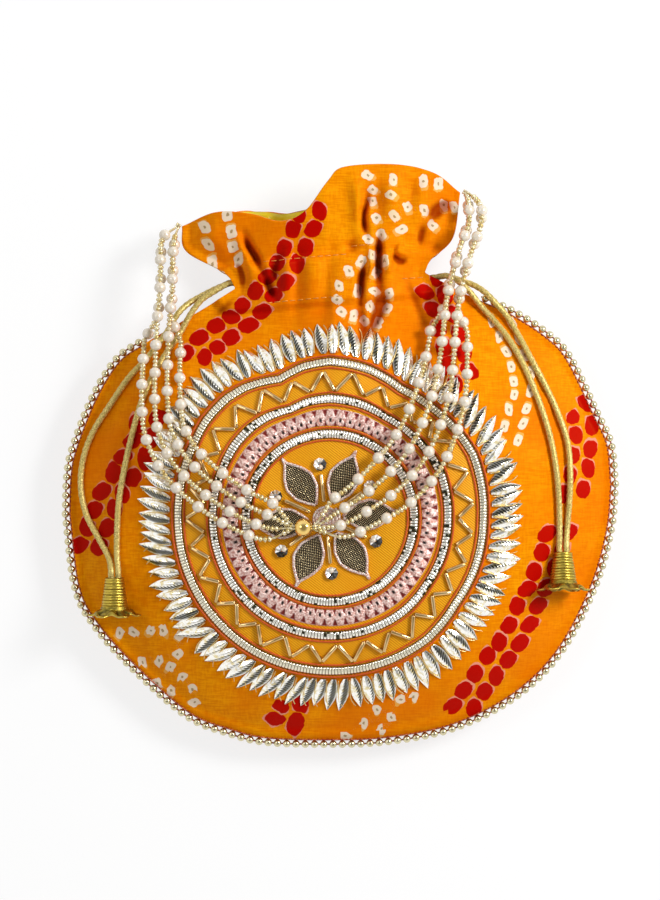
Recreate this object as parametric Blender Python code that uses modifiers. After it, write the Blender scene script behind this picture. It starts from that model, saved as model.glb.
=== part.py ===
"""An embroidered potli: a round, gathered drawstring bag of bandhani satin, lying on its back.

The frame is in metres. +Z is up, the front of the bag faces up and the mouth points along +Y. The
origin is on the floor under the middle of the bag. The outer bag is a front and a back panel sewn
together round the edge, with a lining bag inside. Two cords run in the tunnel at the neck, a string of
metal beads covers the seam, and a round embroidered motif is couched on the front.
"""

import math

import bmesh
import bpy
import numpy as np
from mathutils import Matrix, Vector
from mathutils.bvhtree import BVHTree

# The bag, flat outline
BAG_WIDTH = 0.240
BODY_HEIGHT = 0.2033
RUFFLE_HEIGHT = 0.0506
RUFFLE_WIDTH = 0.1232
RUFFLE_SHIFT = -0.0086
NECK_WIDTH = 0.0836
NECK_SHIFT = -0.0046
NECK_TILT = 0.0070

# The bag, thickness
SEAM_HEIGHT = 0.014
FRONT_CROWN = 0.026
BACK_CROWN = 0.017
CROWN_REACH = 0.085
SEAM_ALLOWANCE = 0.003
CLOTH = 0.0012
LINING_CLOTH = 0.0006
LINING_DROP = 0.0028
LINING_HEM_DROP = 0.0020
LINING_SHRINK = 0.060
LINING_INSET = 0.050
LINING_TURN_INSET = 0.150
TUNNEL_PUFF = 0.0036
TUNNEL_HALF_WIDTH = 0.0085
TUNNEL_FADE = 0.0040
LANE_OFFSET = 0.0027
LANE_END = 0.055
FOLD_DEPTH = 0.0042
FOLDS = 7
GAP = 0.0003

# Seam beads
TRIM_BEAD = 0.0030
TRIM_PITCH = 0.0041
TRIM_THREAD = 0.0011
TRIM_LEFT_END = 5.0
TRIM_RIGHT_END = 5.75

# Drawstrings and their bells
CORD = 0.0028
CORD_STEP = 0.0078
CORD_SEPARATION = 0.0031
BELL_LENGTH = 0.0190
BELL_TOP = 0.0078
BELL_WAIST = 0.0126
BELL_RIM = 0.0196
BELL_WALL = 0.0005
BELL_LAY_GAP = 0.0013
BELL_PETALS = 6
BELL_LIP = 0.0010
LEFT_BELL = (-0.0990, -0.0531)
RIGHT_BELL = (0.0975, -0.0420)
CORD_IN_BELL = 0.0060
CORD_OVER_BELL = 0.0040
KNOT = 0.0052

# Beaded handle
STRAND = 0.0046
STRAND_THREAD = 0.0007
STRAND_GAP = 0.0004
STRANDS = 4
GOLD_BEAD = 0.0080
GOLD_BEAD_BORE = 0.0030

# Embroidered motif on the front
MOTIF_X = -0.0046
MOTIF_Y = -0.0263
MOTIF_SECTORS = 28
DISC_RADIUS = 0.0690
DISC_RINGS = (0.27, 0.54, 0.78, 1.0)
DISC_CLOTH = 0.0004
LAY_GAP = 0.0005
CLOTH_LAY_GAP = 0.0010
CORD_LAY_GAP = 0.0010
RING_HEIGHT = 0.0008
OUTER_RING = 0.0662
OUTER_RING_WIDTH = 0.0042
MIDDLE_RING = 0.0510
MIDDLE_RING_WIDTH = 0.0036
INNER_RING = 0.0365
INNER_RING_WIDTH = 0.0040
SEQUIN_RING = 0.04345
SEQUIN_RING_WIDTH = 0.0069
DORI = 0.0009
BUGLE = 0.0020
BUGLES = 58
ZIGZAG_IN = 0.0551
ZIGZAG_OUT = 0.0616
FRINGE_PETALS = 95
FRINGE_IN = 0.0698
FRINGE_BASE = 0.0718
FRINGE_OUT = 0.0836
FRINGE_RIDGE = 0.0014
FRINGE_RIDGE_AT = 0.38

# Flower in the middle of the motif
FLOWER_X = -0.0064
FLOWER_Y = -0.0267
FLOWER_PETALS = 6
PETAL_START = 0.0085
PETAL_TIP = 0.0312
PETAL_WIDTH = 0.0116
PETAL_TURN = math.radians(126)
PETAL_CREST = 0.0012
PETAL_CREST_AT = 0.45
PETAL_SHAPE = ((0.0, 0.0), (0.25, 0.80), (0.50, 1.00), (0.78, 0.52), (1.0, 0.0))
SPOKE_START = 0.0080
SPOKE_LENGTH = 0.0110
SPOKE_SEQUIN = 0.0058
SPOKE_SEQUIN_AT = 0.0238
SPOKE_SEQUIN_HEIGHT = 0.0014
SPOKE_SEQUIN_TOP = 0.0032
SPOKE_BEAD = 0.0022
COIL_RADIUS = 0.0062
COIL_TOP = 0.0034
COIL_HEIGHT = 0.0016

# Shares of the way up a panel: the neck, where the gathers and their folds begin, and the places where the
# lining turns in to clear the cords, comes out again and ends.
NECK_AT = 0.74
GATHERS_FROM = 0.44
FOLDS_FROM = 0.50
FOLDS_FULL = 0.72
LINING_IN_FROM = 0.50
LINING_IN_TO = 0.68
LINING_OUT_FROM = 0.80
LINING_OUT_TO = 0.92
LINING_SHRINK_FROM = 0.60
LINING_HEM_FROM = 0.84
LINING_HEM_TO = 0.95
LINING_TOP = 0.985

# How full the bag is: the curve from the seam to the crown, the share of the crown lost at the neck and won
# back in the ruffle, and the mean and the place across of the folds' depth.
CROWN_CURVE = 2.4
CROWN_LOST_AT_NECK = 0.50
CROWN_OF_RUFFLE = 0.10
FOLD_MEAN = 0.65
DEEPEST_FOLD_AT = 0.72
FOLD_EDGE = 0.012
BOTTOM_PULL = 2.5

# Outline points. Body: share of the half width from the middle, share of the body height from the bottom.
BOTTOM_EDGE = (
    (-1.000, 0.491), (-0.965, 0.333), (-0.890, 0.249), (-0.750, 0.158), (-0.560, 0.060),
    (-0.413, 0.024), (-0.270, 0.004), (-0.020, 0.000), (0.178, 0.006), (0.413, 0.034),
    (0.633, 0.099), (0.800, 0.195), (0.926, 0.337), (0.985, 0.461), (1.000, 0.556),
)
LEFT_EDGE = (
    (-1.000, 0.491), (-0.995, 0.576), (-0.975, 0.634), (-0.905, 0.740), (-0.820, 0.822),
    (-0.722, 0.864), (-0.512, 0.937),
)
RIGHT_EDGE = (
    (1.000, 0.556), (0.985, 0.643), (0.934, 0.710), (0.838, 0.827), (0.761, 0.877),
    (0.625, 0.929), (0.475, 0.968),
)
# Ruffle: share of its half width from its middle, share of its height from the neck.
LEFT_RUFFLE = ((-0.693, 0.069), (-0.971, 0.261), (-1.000, 0.478))
RIGHT_RUFFLE = ((0.794, 0.192), (0.950, 0.381), (1.000, 0.773))
FRONT_MOUTH = (
    (-1.000, 0.478), (-0.756, 0.591), (-0.506, 0.573), (-0.286, 0.504), (-0.114, 0.591),
    (0.050, 0.852), (0.172, 0.974), (0.536, 1.000), (0.815, 0.931), (1.000, 0.773),
)
BACK_MOUTH = (
    (-1.000, 0.478), (-0.756, 0.585), (-0.506, 0.625), (-0.286, 0.605), (-0.114, 0.640),
    (0.050, 0.775), (0.172, 0.873), (0.536, 0.943), (0.815, 0.883), (1.000, 0.773),
)

# Cord routes from the slit to the bell: x, y, and the height over the seam plane where the cord is still
# in the air. None lies on the cloth.
LEFT_INNER_LEG = (
    (-0.0484, 0.0772, 0.0020),
    (-0.0510, 0.0762, 0.0022), (-0.0560, 0.0732, 0.0028), (-0.0615, 0.0694, 0.0034),
    (-0.0662, 0.0632, 0.0038), (-0.0715, 0.0537, None), (-0.0781, 0.0437, None),
    (-0.0838, 0.0331, None), (-0.0882, 0.0217, None), (-0.0917, 0.0085, None),
    (-0.0948, -0.0056, None), (-0.0970, -0.0188, None), (-0.0979, -0.0320, None),
    (-0.0980, -0.0428, None),
)
LEFT_OUTER_LEG = (
    (-0.0484, 0.0772, -0.0020),
    (-0.0510, 0.0765, -0.0020), (-0.0563, 0.0742, -0.0016), (-0.0620, 0.0712, -0.0006),
    (-0.0675, 0.0678, 0.0012), (-0.0720, 0.0632, 0.0034), (-0.0768, 0.0552, None),
    (-0.0847, 0.0445, None), (-0.0935, 0.0349, None), (-0.1014, 0.0234, None),
    (-0.1093, 0.0111, None), (-0.1137, -0.0012, None), (-0.1146, -0.0135, None),
    (-0.1120, -0.0254, None), (-0.1062, -0.0360, None), (-0.1018, -0.0438, None),
)
RIGHT_INNER_LEG = (
    (0.0420, 0.0796, 0.0014), (0.0470, 0.0802, 0.0018), (0.0525, 0.0775, 0.0030),
    (0.0570, 0.0732, 0.0038), (0.0622, 0.0667, None), (0.0680, 0.0602, None), (0.0737, 0.0527, None),
    (0.0790, 0.0437, None), (0.0843, 0.0318, None), (0.0887, 0.0199, None),
    (0.0922, 0.0076, None), (0.0945, -0.0056, None), (0.0957, -0.0188, None),
    (0.0960, -0.0318, None),
)
RIGHT_OUTER_LEG = (
    (0.0420, 0.0796, -0.0019), (0.0475, 0.0804, -0.0020), (0.0535, 0.0782, -0.0005),
    (0.0590, 0.0762, 0.0010), (0.0638, 0.0730, 0.0030), (0.0680, 0.0687, 0.0038), (0.0735, 0.0624, None),
    (0.0788, 0.0533, None), (0.0842, 0.0428, None), (0.0904, 0.0309, None),
    (0.0957, 0.0190, None), (0.0997, 0.0067, None), (0.1008, -0.0065, None),
    (0.1004, -0.0198, None), (0.0994, -0.0318, None),
)

# Route of the four strands together, from the left corner of the ruffle to the right one: x, y, spacing
# of the strands, how far they are stacked two by two, and the height of the lower strands' middle over
# the cloth.
HANDLE_ROUTE = (
    (-0.0713, 0.1034, 0.0011, 1.0, -0.0019), (-0.0728, 0.1010, 0.0014, 1.0, -0.0017),
    (-0.0760, 0.0955, 0.0054, 1.0, 0.0005), (-0.0765, 0.0872, 0.0054, 1.0, 0.0040),
    (-0.0765, 0.0752, 0.0054, 1.0, 0.0072), (-0.0775, 0.0632, 0.0054, 1.0, 0.0076),
    (-0.0782, 0.0512, 0.0054, 0.5, 0.0074), (-0.0785, 0.0392, 0.0054, 0.0, 0.0070),
    (-0.0783, 0.0252, 0.0056, 0.0, 0.0070), (-0.0765, 0.0112, 0.0058, 0.0, 0.0070),
    (-0.0695, -0.0018, 0.0060, 0.0, 0.0070), (-0.0575, -0.0133, 0.0060, 0.0, 0.0071),
    (-0.0440, -0.0223, 0.0058, 0.0, 0.0071), (-0.0315, -0.0278, 0.0054, 0.0, 0.0074),
    (-0.0250, -0.0295, 0.0026, 0.0, 0.0078), (-0.0222, -0.0300, 0.0011, 0.0, 0.0080),
    (-0.0205, -0.0303, 0.0011, 1.0, 0.0080), (-0.0161, -0.0303, 0.0011, 1.0, 0.0080),
    (-0.0117, -0.0303, 0.0011, 1.0, 0.0080), (-0.0100, -0.0300, 0.0011, 0.0, 0.0080),
    (-0.0070, -0.0291, 0.0026, 0.0, 0.0078), (-0.0005, -0.0266, 0.0056, 0.0, 0.0075),
    (0.0100, -0.0203, 0.0066, 0.0, 0.0081), (0.0220, -0.0113, 0.0078, 0.0, 0.0077),
    (0.0325, 0.0007, 0.0080, 0.0, 0.0071), (0.0395, 0.0147, 0.0076, 0.0, 0.0070),
    (0.0440, 0.0292, 0.0070, 0.0, 0.0068), (0.0463, 0.0432, 0.0060, 0.0, 0.0068),
    (0.0475, 0.0552, 0.0054, 0.5, 0.0070), (0.0490, 0.0672, 0.0054, 1.0, 0.0072),
    (0.0515, 0.0792, 0.0054, 1.0, 0.0076), (0.0550, 0.0912, 0.0054, 1.0, 0.0070),
    (0.0590, 0.1022, 0.0054, 1.0, 0.0040), (0.0592, 0.1102, 0.0054, 1.0, 0.0005),
    (0.0566, 0.1162, 0.0014, 1.0, -0.0017), (0.0543, 0.1178, 0.0011, 1.0, -0.0019),
)
BEAD_POINT = 17

# Steps of a smooth line between two of its points.
LINE_STEPS = 12
CORD_LINE_STEPS = 8

# Rows and columns of the cloth panels, as shares of the panel, closer where the cloth bends more.
FRONT_ROWS = (
    0, 0.008, 0.03, 0.07, 0.13, 0.20, 0.29, 0.39, 0.50, 0.58, 0.65, 0.69, 0.74, 0.79, 0.83, 0.91, 1,
)
BACK_ROWS = (0, 0.008, 0.04, 0.10, 0.20, 0.36, 0.54, 0.65, 0.69, 0.79, 0.83, 1)
LINING_ROWS = (0, 0.05, 0.14, 0.32, 0.54, 0.66, 0.78, 0.90, 1)
FRONT_COLUMNS = 28
BACK_COLUMNS = 16
LINING_COLUMNS = 12
EDGE_COLUMN = 0.012

HALF_WIDTH = BAG_WIDTH / 2
TRIM_REACH = GAP + TRIM_BEAD
BOTTOM = -(BODY_HEIGHT + RUFFLE_HEIGHT - TRIM_REACH) / 2
NECK = BOTTOM + BODY_HEIGHT
OUTSIDE_GROUND = SEAM_HEIGHT + GAP / 2 + CLOTH


def clear_scene():
    for obj in list(bpy.data.objects):
        bpy.data.objects.remove(obj)


def make_collection(name):
    collection = bpy.data.collections.new(name)
    bpy.context.scene.collection.children.link(collection)
    return collection


def finish_material(name, colour, roughness, metallic=0.0):
    material = bpy.data.materials.new(name)
    material.use_nodes = True
    shader = material.node_tree.nodes["Principled BSDF"]
    shader.inputs["Base Color"].default_value = (*colour, 1)
    shader.inputs["Roughness"].default_value = roughness
    shader.inputs["Metallic"].default_value = metallic
    return material


def smooth_line(points, steps=LINE_STEPS):
    """A dense line through the points, as a Catmull-Rom curve. Works in any number of dimensions."""
    points = np.asarray(points, float)
    ends = np.vstack([2 * points[0] - points[1], points, 2 * points[-1] - points[-2]])
    t = np.linspace(0, 1, steps, endpoint=False)[:, None]
    pieces = []
    for a, b, c, d in zip(ends, ends[1:], ends[2:], ends[3:]):
        bend = (2 * a - 5 * b + 4 * c - d) * t**2
        twist = (3 * b - a - 3 * c + d) * t**3
        pieces.append(0.5 * (2 * b + (c - a) * t + bend + twist))
    return np.vstack([*pieces, points[-1:]])


def distance_along(line, size=3):
    return np.concatenate([[0], np.cumsum(np.linalg.norm(np.diff(line[:, :size], axis=0), axis=1))])


def at_share(line, share):
    """Points at these shares of the line's length."""
    length = distance_along(line, 2)
    share = np.asarray(share, float) * length[-1]
    return np.stack([np.interp(share, length, line[:, i]) for i in range(line.shape[1])], -1)


def even_points(line, step, size=3):
    """The line walked in equal steps of about this length."""
    length = distance_along(line, size)
    count = max(2, round(length[-1] / step) + 1)
    at = np.linspace(0, length[-1], count)
    return np.stack([np.interp(at, length, line[:, i]) for i in range(line.shape[1])], -1)


def smooth_step(low, high, value):
    share = np.clip((value - low) / (high - low), 0, 1)
    return share * share * (3 - 2 * share)


def body_points(shares):
    return [(x * HALF_WIDTH, BOTTOM + y * BODY_HEIGHT) for x, y in shares]


def ruffle_points(shares):
    return [(RUFFLE_SHIFT + x * RUFFLE_WIDTH / 2, NECK + y * RUFFLE_HEIGHT) for x, y in shares]


NECK_LEFT = (NECK_SHIFT - NECK_WIDTH / 2, NECK - NECK_TILT / 2)
NECK_RIGHT = (NECK_SHIFT + NECK_WIDTH / 2, NECK + NECK_TILT / 2)
BOTTOM_LINE = smooth_line(body_points(BOTTOM_EDGE))
LEFT_LINE = smooth_line([*body_points(LEFT_EDGE), NECK_LEFT])
RIGHT_LINE = smooth_line([*body_points(RIGHT_EDGE), NECK_RIGHT])
LEFT_RUFFLE_LINE = smooth_line([NECK_LEFT, *ruffle_points(LEFT_RUFFLE)])
RIGHT_RUFFLE_LINE = smooth_line([NECK_RIGHT, *ruffle_points(RIGHT_RUFFLE)])
SEAM_LINE = np.vstack([
    LEFT_RUFFLE_LINE[::-1], LEFT_LINE[::-1], BOTTOM_LINE, RIGHT_LINE, RIGHT_RUFFLE_LINE,
])


def side_points(body, ruffle, v):
    below = at_share(body, np.clip(v / NECK_AT, 0, 1))
    above = at_share(ruffle, np.clip((v - NECK_AT) / (1 - NECK_AT), 0, 1))
    return np.where((v < NECK_AT)[..., None], below, above)


def panel_points(u, v, mouth):
    """Where share u across and share v up a panel lies, seen from above: a patch between its four edges."""
    bottom = at_share(BOTTOM_LINE, u)
    top = at_share(smooth_line(ruffle_points(mouth)), u)
    left = side_points(LEFT_LINE, LEFT_RUFFLE_LINE, v)
    right = side_points(RIGHT_LINE, RIGHT_RUFFLE_LINE, v)
    low = ((1 - v) ** BOTTOM_PULL)[..., None]
    across = u[..., None]
    corner_left = low * BOTTOM_LINE[0] + (1 - low) * LEFT_RUFFLE_LINE[-1]
    corner_right = low * BOTTOM_LINE[-1] + (1 - low) * RIGHT_RUFFLE_LINE[-1]
    sides = (1 - across) * (left - corner_left) + across * (right - corner_right)
    return low * bottom + (1 - low) * top + sides


def edge_distance(points):
    """Distance from the seam, seen from above."""
    start, end = SEAM_LINE[:-1], SEAM_LINE[1:]
    span = end - start
    square = np.maximum((span**2).sum(1), 1e-18)
    flat = points.reshape(-1, 1, 2)
    share = np.clip(((flat - start) * span).sum(-1) / square, 0, 1)
    near = np.linalg.norm(flat - start - share[..., None] * span, axis=-1).min(1)
    return near.reshape(points.shape[:-1])


def fullness(points, v):
    """How far the cloth stands off the seam plane, from 0 at the seam to 1 on the full body."""
    share = np.clip((edge_distance(points) - SEAM_ALLOWANCE) / (CROWN_REACH - SEAM_ALLOWANCE), 0, 1)
    lost = CROWN_LOST_AT_NECK * smooth_step(GATHERS_FROM, NECK_AT, v)
    won = CROWN_OF_RUFFLE * smooth_step(NECK_AT, 1, v)
    return (1 - (1 - share) ** CROWN_CURVE) * (1 - lost + won)


def tunnel_share(points):
    """1 over the cord tunnel, which runs straight across the neck, and 0 away from it."""
    start, end = np.array(NECK_LEFT), np.array(NECK_RIGHT)
    span = end - start
    share = np.clip(((points - start) * span).sum(-1) / (span @ span), 0, 1)
    away = np.linalg.norm(points - start - share[..., None] * span, axis=-1)
    return 1 - smooth_step(TUNNEL_HALF_WIDTH, TUNNEL_HALF_WIDTH + TUNNEL_FADE, away)


def folds(u, v, points):
    """The gathers: ridges that stand outward from the neck, deepest to the right of its middle."""
    ridge = 0.5 - 0.5 * np.cos(2 * math.pi * FOLDS * u)
    deepest = FOLD_MEAN + (1 - FOLD_MEAN) * np.cos(2 * math.pi * (u - DEEPEST_FOLD_AT))
    rise = smooth_step(FOLDS_FROM, FOLDS_FULL, v)
    at_edge = np.clip((edge_distance(points) - SEAM_ALLOWANCE) / FOLD_EDGE, 0, 1)
    return FOLD_DEPTH * ridge * deepest * rise * at_edge


def front_height(u, v, points, loose=True):
    base = OUTSIDE_GROUND + FRONT_CROWN * fullness(points, v)
    if loose:
        base = base + TUNNEL_PUFF * tunnel_share(points) + folds(u, v, points)
    return base


def back_height(u, v, points, loose=True):
    base = SEAM_HEIGHT - GAP / 2 - CLOTH - BACK_CROWN * fullness(points, v)
    if loose:
        base = base - TUNNEL_PUFF * tunnel_share(points) - folds(u, v, points)
    return np.maximum(base, 0)


def cloth_surface(points, flip=False):
    """A grid of points as an open mesh, facing up, or down with flip."""
    rows, columns = points.shape[:2]
    bm = bmesh.new()
    bmesh.ops.create_grid(bm, x_segments=columns - 1, y_segments=rows - 1, size=1)
    bm.verts.ensure_lookup_table()
    order = sorted(bm.verts, key=lambda vert: (round(vert.co.y, 5), round(vert.co.x, 5)))
    for vert, place in zip(order, points.reshape(-1, 3)):
        vert.co = place
    if flip:
        bmesh.ops.reverse_faces(bm, faces=bm.faces)
    return bm


def add_mesh(name, bm, collection, material, thickness=0.0, offset=-1.0, flat=False):
    """Turns the bmesh into a node. An open surface gets its thickness from Solidify."""
    mesh = bpy.data.meshes.new(name)
    bm.to_mesh(mesh)
    bm.free()
    obj = bpy.data.objects.new(name, mesh)
    collection.objects.link(obj)
    mesh.materials.append(material)
    if not flat:
        mesh.shade_smooth()
    if thickness:
        solid = obj.modifiers.new("thickness", "SOLIDIFY")
        solid.thickness = thickness
        solid.offset = offset
    return obj


def add_tube(name, points, radii, collection, material, resolution=2, closed=False):
    """A round tube along the points, with a radius for each."""
    curve = bpy.data.curves.new(name, "CURVE")
    curve.dimensions = "3D"
    curve.bevel_depth = max(radii)
    curve.bevel_resolution = resolution
    curve.use_fill_caps = not closed
    spline = curve.splines.new("POLY")
    spline.points.add(len(points) - 1)
    for target, place, radius in zip(spline.points, points, radii):
        target.co = (*place, 1)
        target.radius = radius / max(radii)
    spline.use_cyclic_u = closed
    obj = bpy.data.objects.new(name, curve)
    collection.objects.link(obj)
    curve.materials.append(material)
    return obj


def panel_columns(count):
    inner = np.linspace(0, 1, count + 1)
    return np.concatenate([[0, EDGE_COLUMN], inner[1:-1], [1 - EDGE_COLUMN, 1]])


def make_panels(collection, satin):
    """The outer cloth. Returns the tree of the front's upper face, which the rest is laid on."""
    u, v = np.meshgrid(panel_columns(FRONT_COLUMNS), np.array(FRONT_ROWS, float))
    flat = panel_points(u, v, FRONT_MOUTH)
    front = cloth_surface(np.dstack([flat, front_height(u, v, flat)]))
    tree = BVHTree.FromBMesh(front)
    add_mesh("front_panel", front, collection, satin, CLOTH)
    u, v = np.meshgrid(panel_columns(BACK_COLUMNS), np.array(BACK_ROWS, float))
    flat = panel_points(u, v, BACK_MOUTH)
    back = cloth_surface(np.dstack([flat, back_height(u, v, flat)]), flip=True)
    add_mesh("back_panel", back, collection, satin, CLOTH)
    return tree


def lining_points(mouth):
    """The lining bag lies inside the outer one, further in at the neck, where the cords turn."""
    u, v = np.meshgrid(np.linspace(0, 1, LINING_COLUMNS + 1), np.array(LINING_ROWS, float))
    v = LINING_TOP * v
    turned_in = smooth_step(LINING_IN_FROM, LINING_IN_TO, v)
    turned_out = smooth_step(LINING_OUT_FROM, LINING_OUT_TO, v)
    inset = turned_in * (LINING_TURN_INSET + (LINING_INSET - LINING_TURN_INSET) * turned_out)
    u = inset + (1 - 2 * inset) * u
    shrink = 1 - LINING_SHRINK * (1 - smooth_step(LINING_SHRINK_FROM, 1.0, v))
    middle = np.array((0, BOTTOM + BODY_HEIGHT / 2))
    return u, v, middle + shrink[..., None] * (panel_points(u, v, mouth) - middle)


def lining_drop(v):
    """How far the lining lies inside the outer face of the outer cloth."""
    return LINING_DROP + (LINING_HEM_DROP - LINING_DROP) * smooth_step(LINING_HEM_FROM, LINING_HEM_TO, v)


def make_linings(collection, lining):
    u, v, flat = lining_points(FRONT_MOUTH)
    drop = lining_drop(v)
    edge = SEAM_HEIGHT + GAP / 2 + LINING_CLOTH
    height = np.maximum(front_height(u, v, flat, loose=False) - drop, edge)
    add_mesh("front_lining", cloth_surface(np.dstack([flat, height])), collection, lining, LINING_CLOTH)
    u, v, flat = lining_points(BACK_MOUTH)
    drop = lining_drop(v)
    edge = SEAM_HEIGHT - GAP / 2 - LINING_CLOTH
    height = np.minimum(back_height(u, v, flat, loose=False) + drop, edge)
    surface = cloth_surface(np.dstack([flat, height]), flip=True)
    add_mesh("back_lining", surface, collection, lining, LINING_CLOTH)


def offset_line(line, reach):
    """The line moved sideways to its right by this distance."""
    along = np.gradient(line, axis=0)
    along /= np.linalg.norm(along, axis=1)[:, None]
    return line + reach * np.stack([along[:, 1], -along[:, 0]], -1)


def make_trim(collection, brass):
    """Metal beads on a thread along the seam, from one shoulder round the bottom to the other. The ends are
    counted in points of the side's outline, from the middle of the body up."""
    shoulder_left = LEFT_LINE[: round(TRIM_LEFT_END * LINE_STEPS) + 1][::-1]
    shoulder_right = RIGHT_LINE[: round(TRIM_RIGHT_END * LINE_STEPS) + 1]
    edge = np.vstack([shoulder_left[:-1], BOTTOM_LINE[:-1], shoulder_right])
    outside = offset_line(even_points(edge, TRIM_PITCH / 4, 2), GAP + TRIM_BEAD / 2)
    count = 2 * round(distance_along(outside, 2)[-1] / TRIM_PITCH) + 1
    flat = at_share(outside, np.linspace(0, 1, count))
    points = np.column_stack([flat, np.full(count, SEAM_HEIGHT)])
    radii = [TRIM_BEAD / 2 if i % 2 else TRIM_THREAD / 2 for i in range(count)]
    add_tube("edge_bead_trim", points, radii, collection, brass, resolution=0)


def ground(tree, x, y):
    """Height of the front's upper face, or of the seam's outside the bag."""
    hit = tree.ray_cast(Vector((x, y, 1)), Vector((0, 0, -1)))[0]
    return hit.z if hit else OUTSIDE_GROUND


def lie_on(tree, flat, height):
    """Points at this height over the front."""
    return np.array([(x, y, ground(tree, x, y) + height) for x, y in flat])


def leg_points(tree, leg):
    on_cloth = CORD_LAY_GAP + CORD / 2
    return [(x, y, SEAM_HEIGHT + z if z is not None else ground(tree, x, y) + on_cloth) for x, y, z in leg]


def tunnel_run(side):
    """A cord in the front and the back half of the tunnel, between the outer cloth and the lining."""
    below_cloth = CLOTH + 2 * GAP + CORD / 2
    start, end = np.array(NECK_LEFT), np.array(NECK_RIGHT)
    span = end - start
    upward = np.array((-span[1], span[0])) / np.linalg.norm(span)
    shares = np.linspace(LANE_END, 1 - LANE_END, LINE_STEPS + 1)[:, None]
    flat = start + shares * span - side * LANE_OFFSET * upward
    full = fullness(flat, np.full(len(flat), NECK_AT))
    front = OUTSIDE_GROUND + FRONT_CROWN * full + TUNNEL_PUFF - below_cloth
    back = SEAM_HEIGHT - GAP / 2 - CLOTH - BACK_CROWN * full - TUNNEL_PUFF + below_cloth
    return np.column_stack([flat, front]), np.column_stack([flat, back])


def turn_points(top, bottom, side):
    """The half turn of a cord from the front of the tunnel to the back, at one side of the neck."""
    middle = (top + bottom) / 2
    half = (top[2] - bottom[2]) / 2
    points = []
    for angle in np.radians((60, 30, 0, -30, -60)):
        x = middle[0] + side * half * math.cos(angle)
        points.append((x, middle[1], middle[2] + half * math.sin(angle)))
    return points


def bell_frame(tree, x, top_y):
    """Place and direction of a bell that lies on the cloth, rim towards -Y."""
    rim_y = top_y - BELL_LENGTH
    top = Vector((x, top_y, ground(tree, x, top_y) + BELL_TOP / 2 + BELL_LAY_GAP))
    rim = Vector((x, rim_y, ground(tree, x, rim_y) + BELL_RIM / 2 + BELL_LAY_GAP))
    down = (rim - top).normalized()
    return top, down


def make_drawstring(tree, side, inner_leg, outer_leg, bell, collection, zari):
    """One whole cord: out of its bell, up the front, round the tunnel and back into the same bell."""
    top, down = bell
    front, back = tunnel_run(side)
    if side > 0:
        front, back = front[::-1], back[::-1]
    ends = []
    for leg, shift in ((inner_leg, -side), (outer_leg, side)):
        beside = Vector((shift * CORD_SEPARATION / 2, 0, 0))
        inside = [tuple(top + beside + down * depth) for depth in (CORD_IN_BELL, 0.0, -CORD_OVER_BELL)]
        ends.append(inside + leg_points(tree, leg)[::-1])
    route = [
        *ends[0], *map(tuple, front), *turn_points(front[-1], back[-1], -side),
        *map(tuple, back[::-1]), *ends[1][::-1],
    ]
    points = even_points(smooth_line(route, CORD_LINE_STEPS), CORD_STEP)
    name = "drawstring_left" if side < 0 else "drawstring_right"
    add_tube(name, points, [CORD / 2] * len(points), collection, zari)


def make_bell(name, tree, place, collection, brass, zari):
    """A cone of thin brass with a flared rim of petals, open below, and the cord's knot inside."""
    top, down = place
    around = 2 * BELL_PETALS
    shoulder = BELL_TOP / 2 + 0.5 * (BELL_WAIST - BELL_TOP) / 2
    outer = (
        (BELL_TOP / 2, 0.0), (shoulder, 0.36), (BELL_WAIST / 2, 0.72),
        (BELL_RIM / 2 - BELL_LIP, 0.90), (BELL_RIM / 2, 1.0),
    )
    inner = [(radius - BELL_WALL, share) for radius, share in outer]
    rings = [*outer, *inner[::-1]]
    bm = bmesh.new()
    turn = Vector((0, 0, -1)).rotation_difference(down).to_matrix()
    made = []
    for number, (radius, share) in enumerate(rings):
        flare = smooth_step(0.75, 1.0, share)
        ring = []
        for step in range(around):
            angle = 2 * math.pi * step / around
            petal = 1 - 0.12 * flare * (step % 2)
            x, y = radius * petal * math.cos(angle), radius * petal * math.sin(angle)
            ring.append(bm.verts.new(top + turn @ Vector((x, y, -share * BELL_LENGTH))))
        made.append(ring)
    for ring, following in zip(made, [*made[1:], made[0]]):
        for step in range(around):
            after = (step + 1) % around
            bm.faces.new((ring[after], ring[step], following[step], following[after]))
    bmesh.ops.recalc_face_normals(bm, faces=bm.faces)
    add_mesh(name, bm, collection, brass)
    knot = bmesh.new()
    bmesh.ops.create_uvsphere(knot, u_segments=8, v_segments=5, radius=KNOT / 2)
    centre = top + down * (CORD_IN_BELL + KNOT / 2 + GAP)
    bmesh.ops.transform(knot, matrix=Matrix.Translation(centre), verts=knot.verts)
    add_mesh(f"{name}_knot", knot, collection, zari)


def strand_layout(number, spacing, stack):
    """Sideways and upward shift of one of the four strands, in a row or stacked two by two."""
    spread = np.minimum(1, 2 * (1 - stack))
    layer = np.minimum(1, 2 * stack)
    outward = np.sign(number - 1.5)
    if number in (0, 3):
        return outward * (0.5 + spread) * spacing, np.zeros_like(spacing)
    return outward * 0.5 * spacing, layer * spacing


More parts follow.
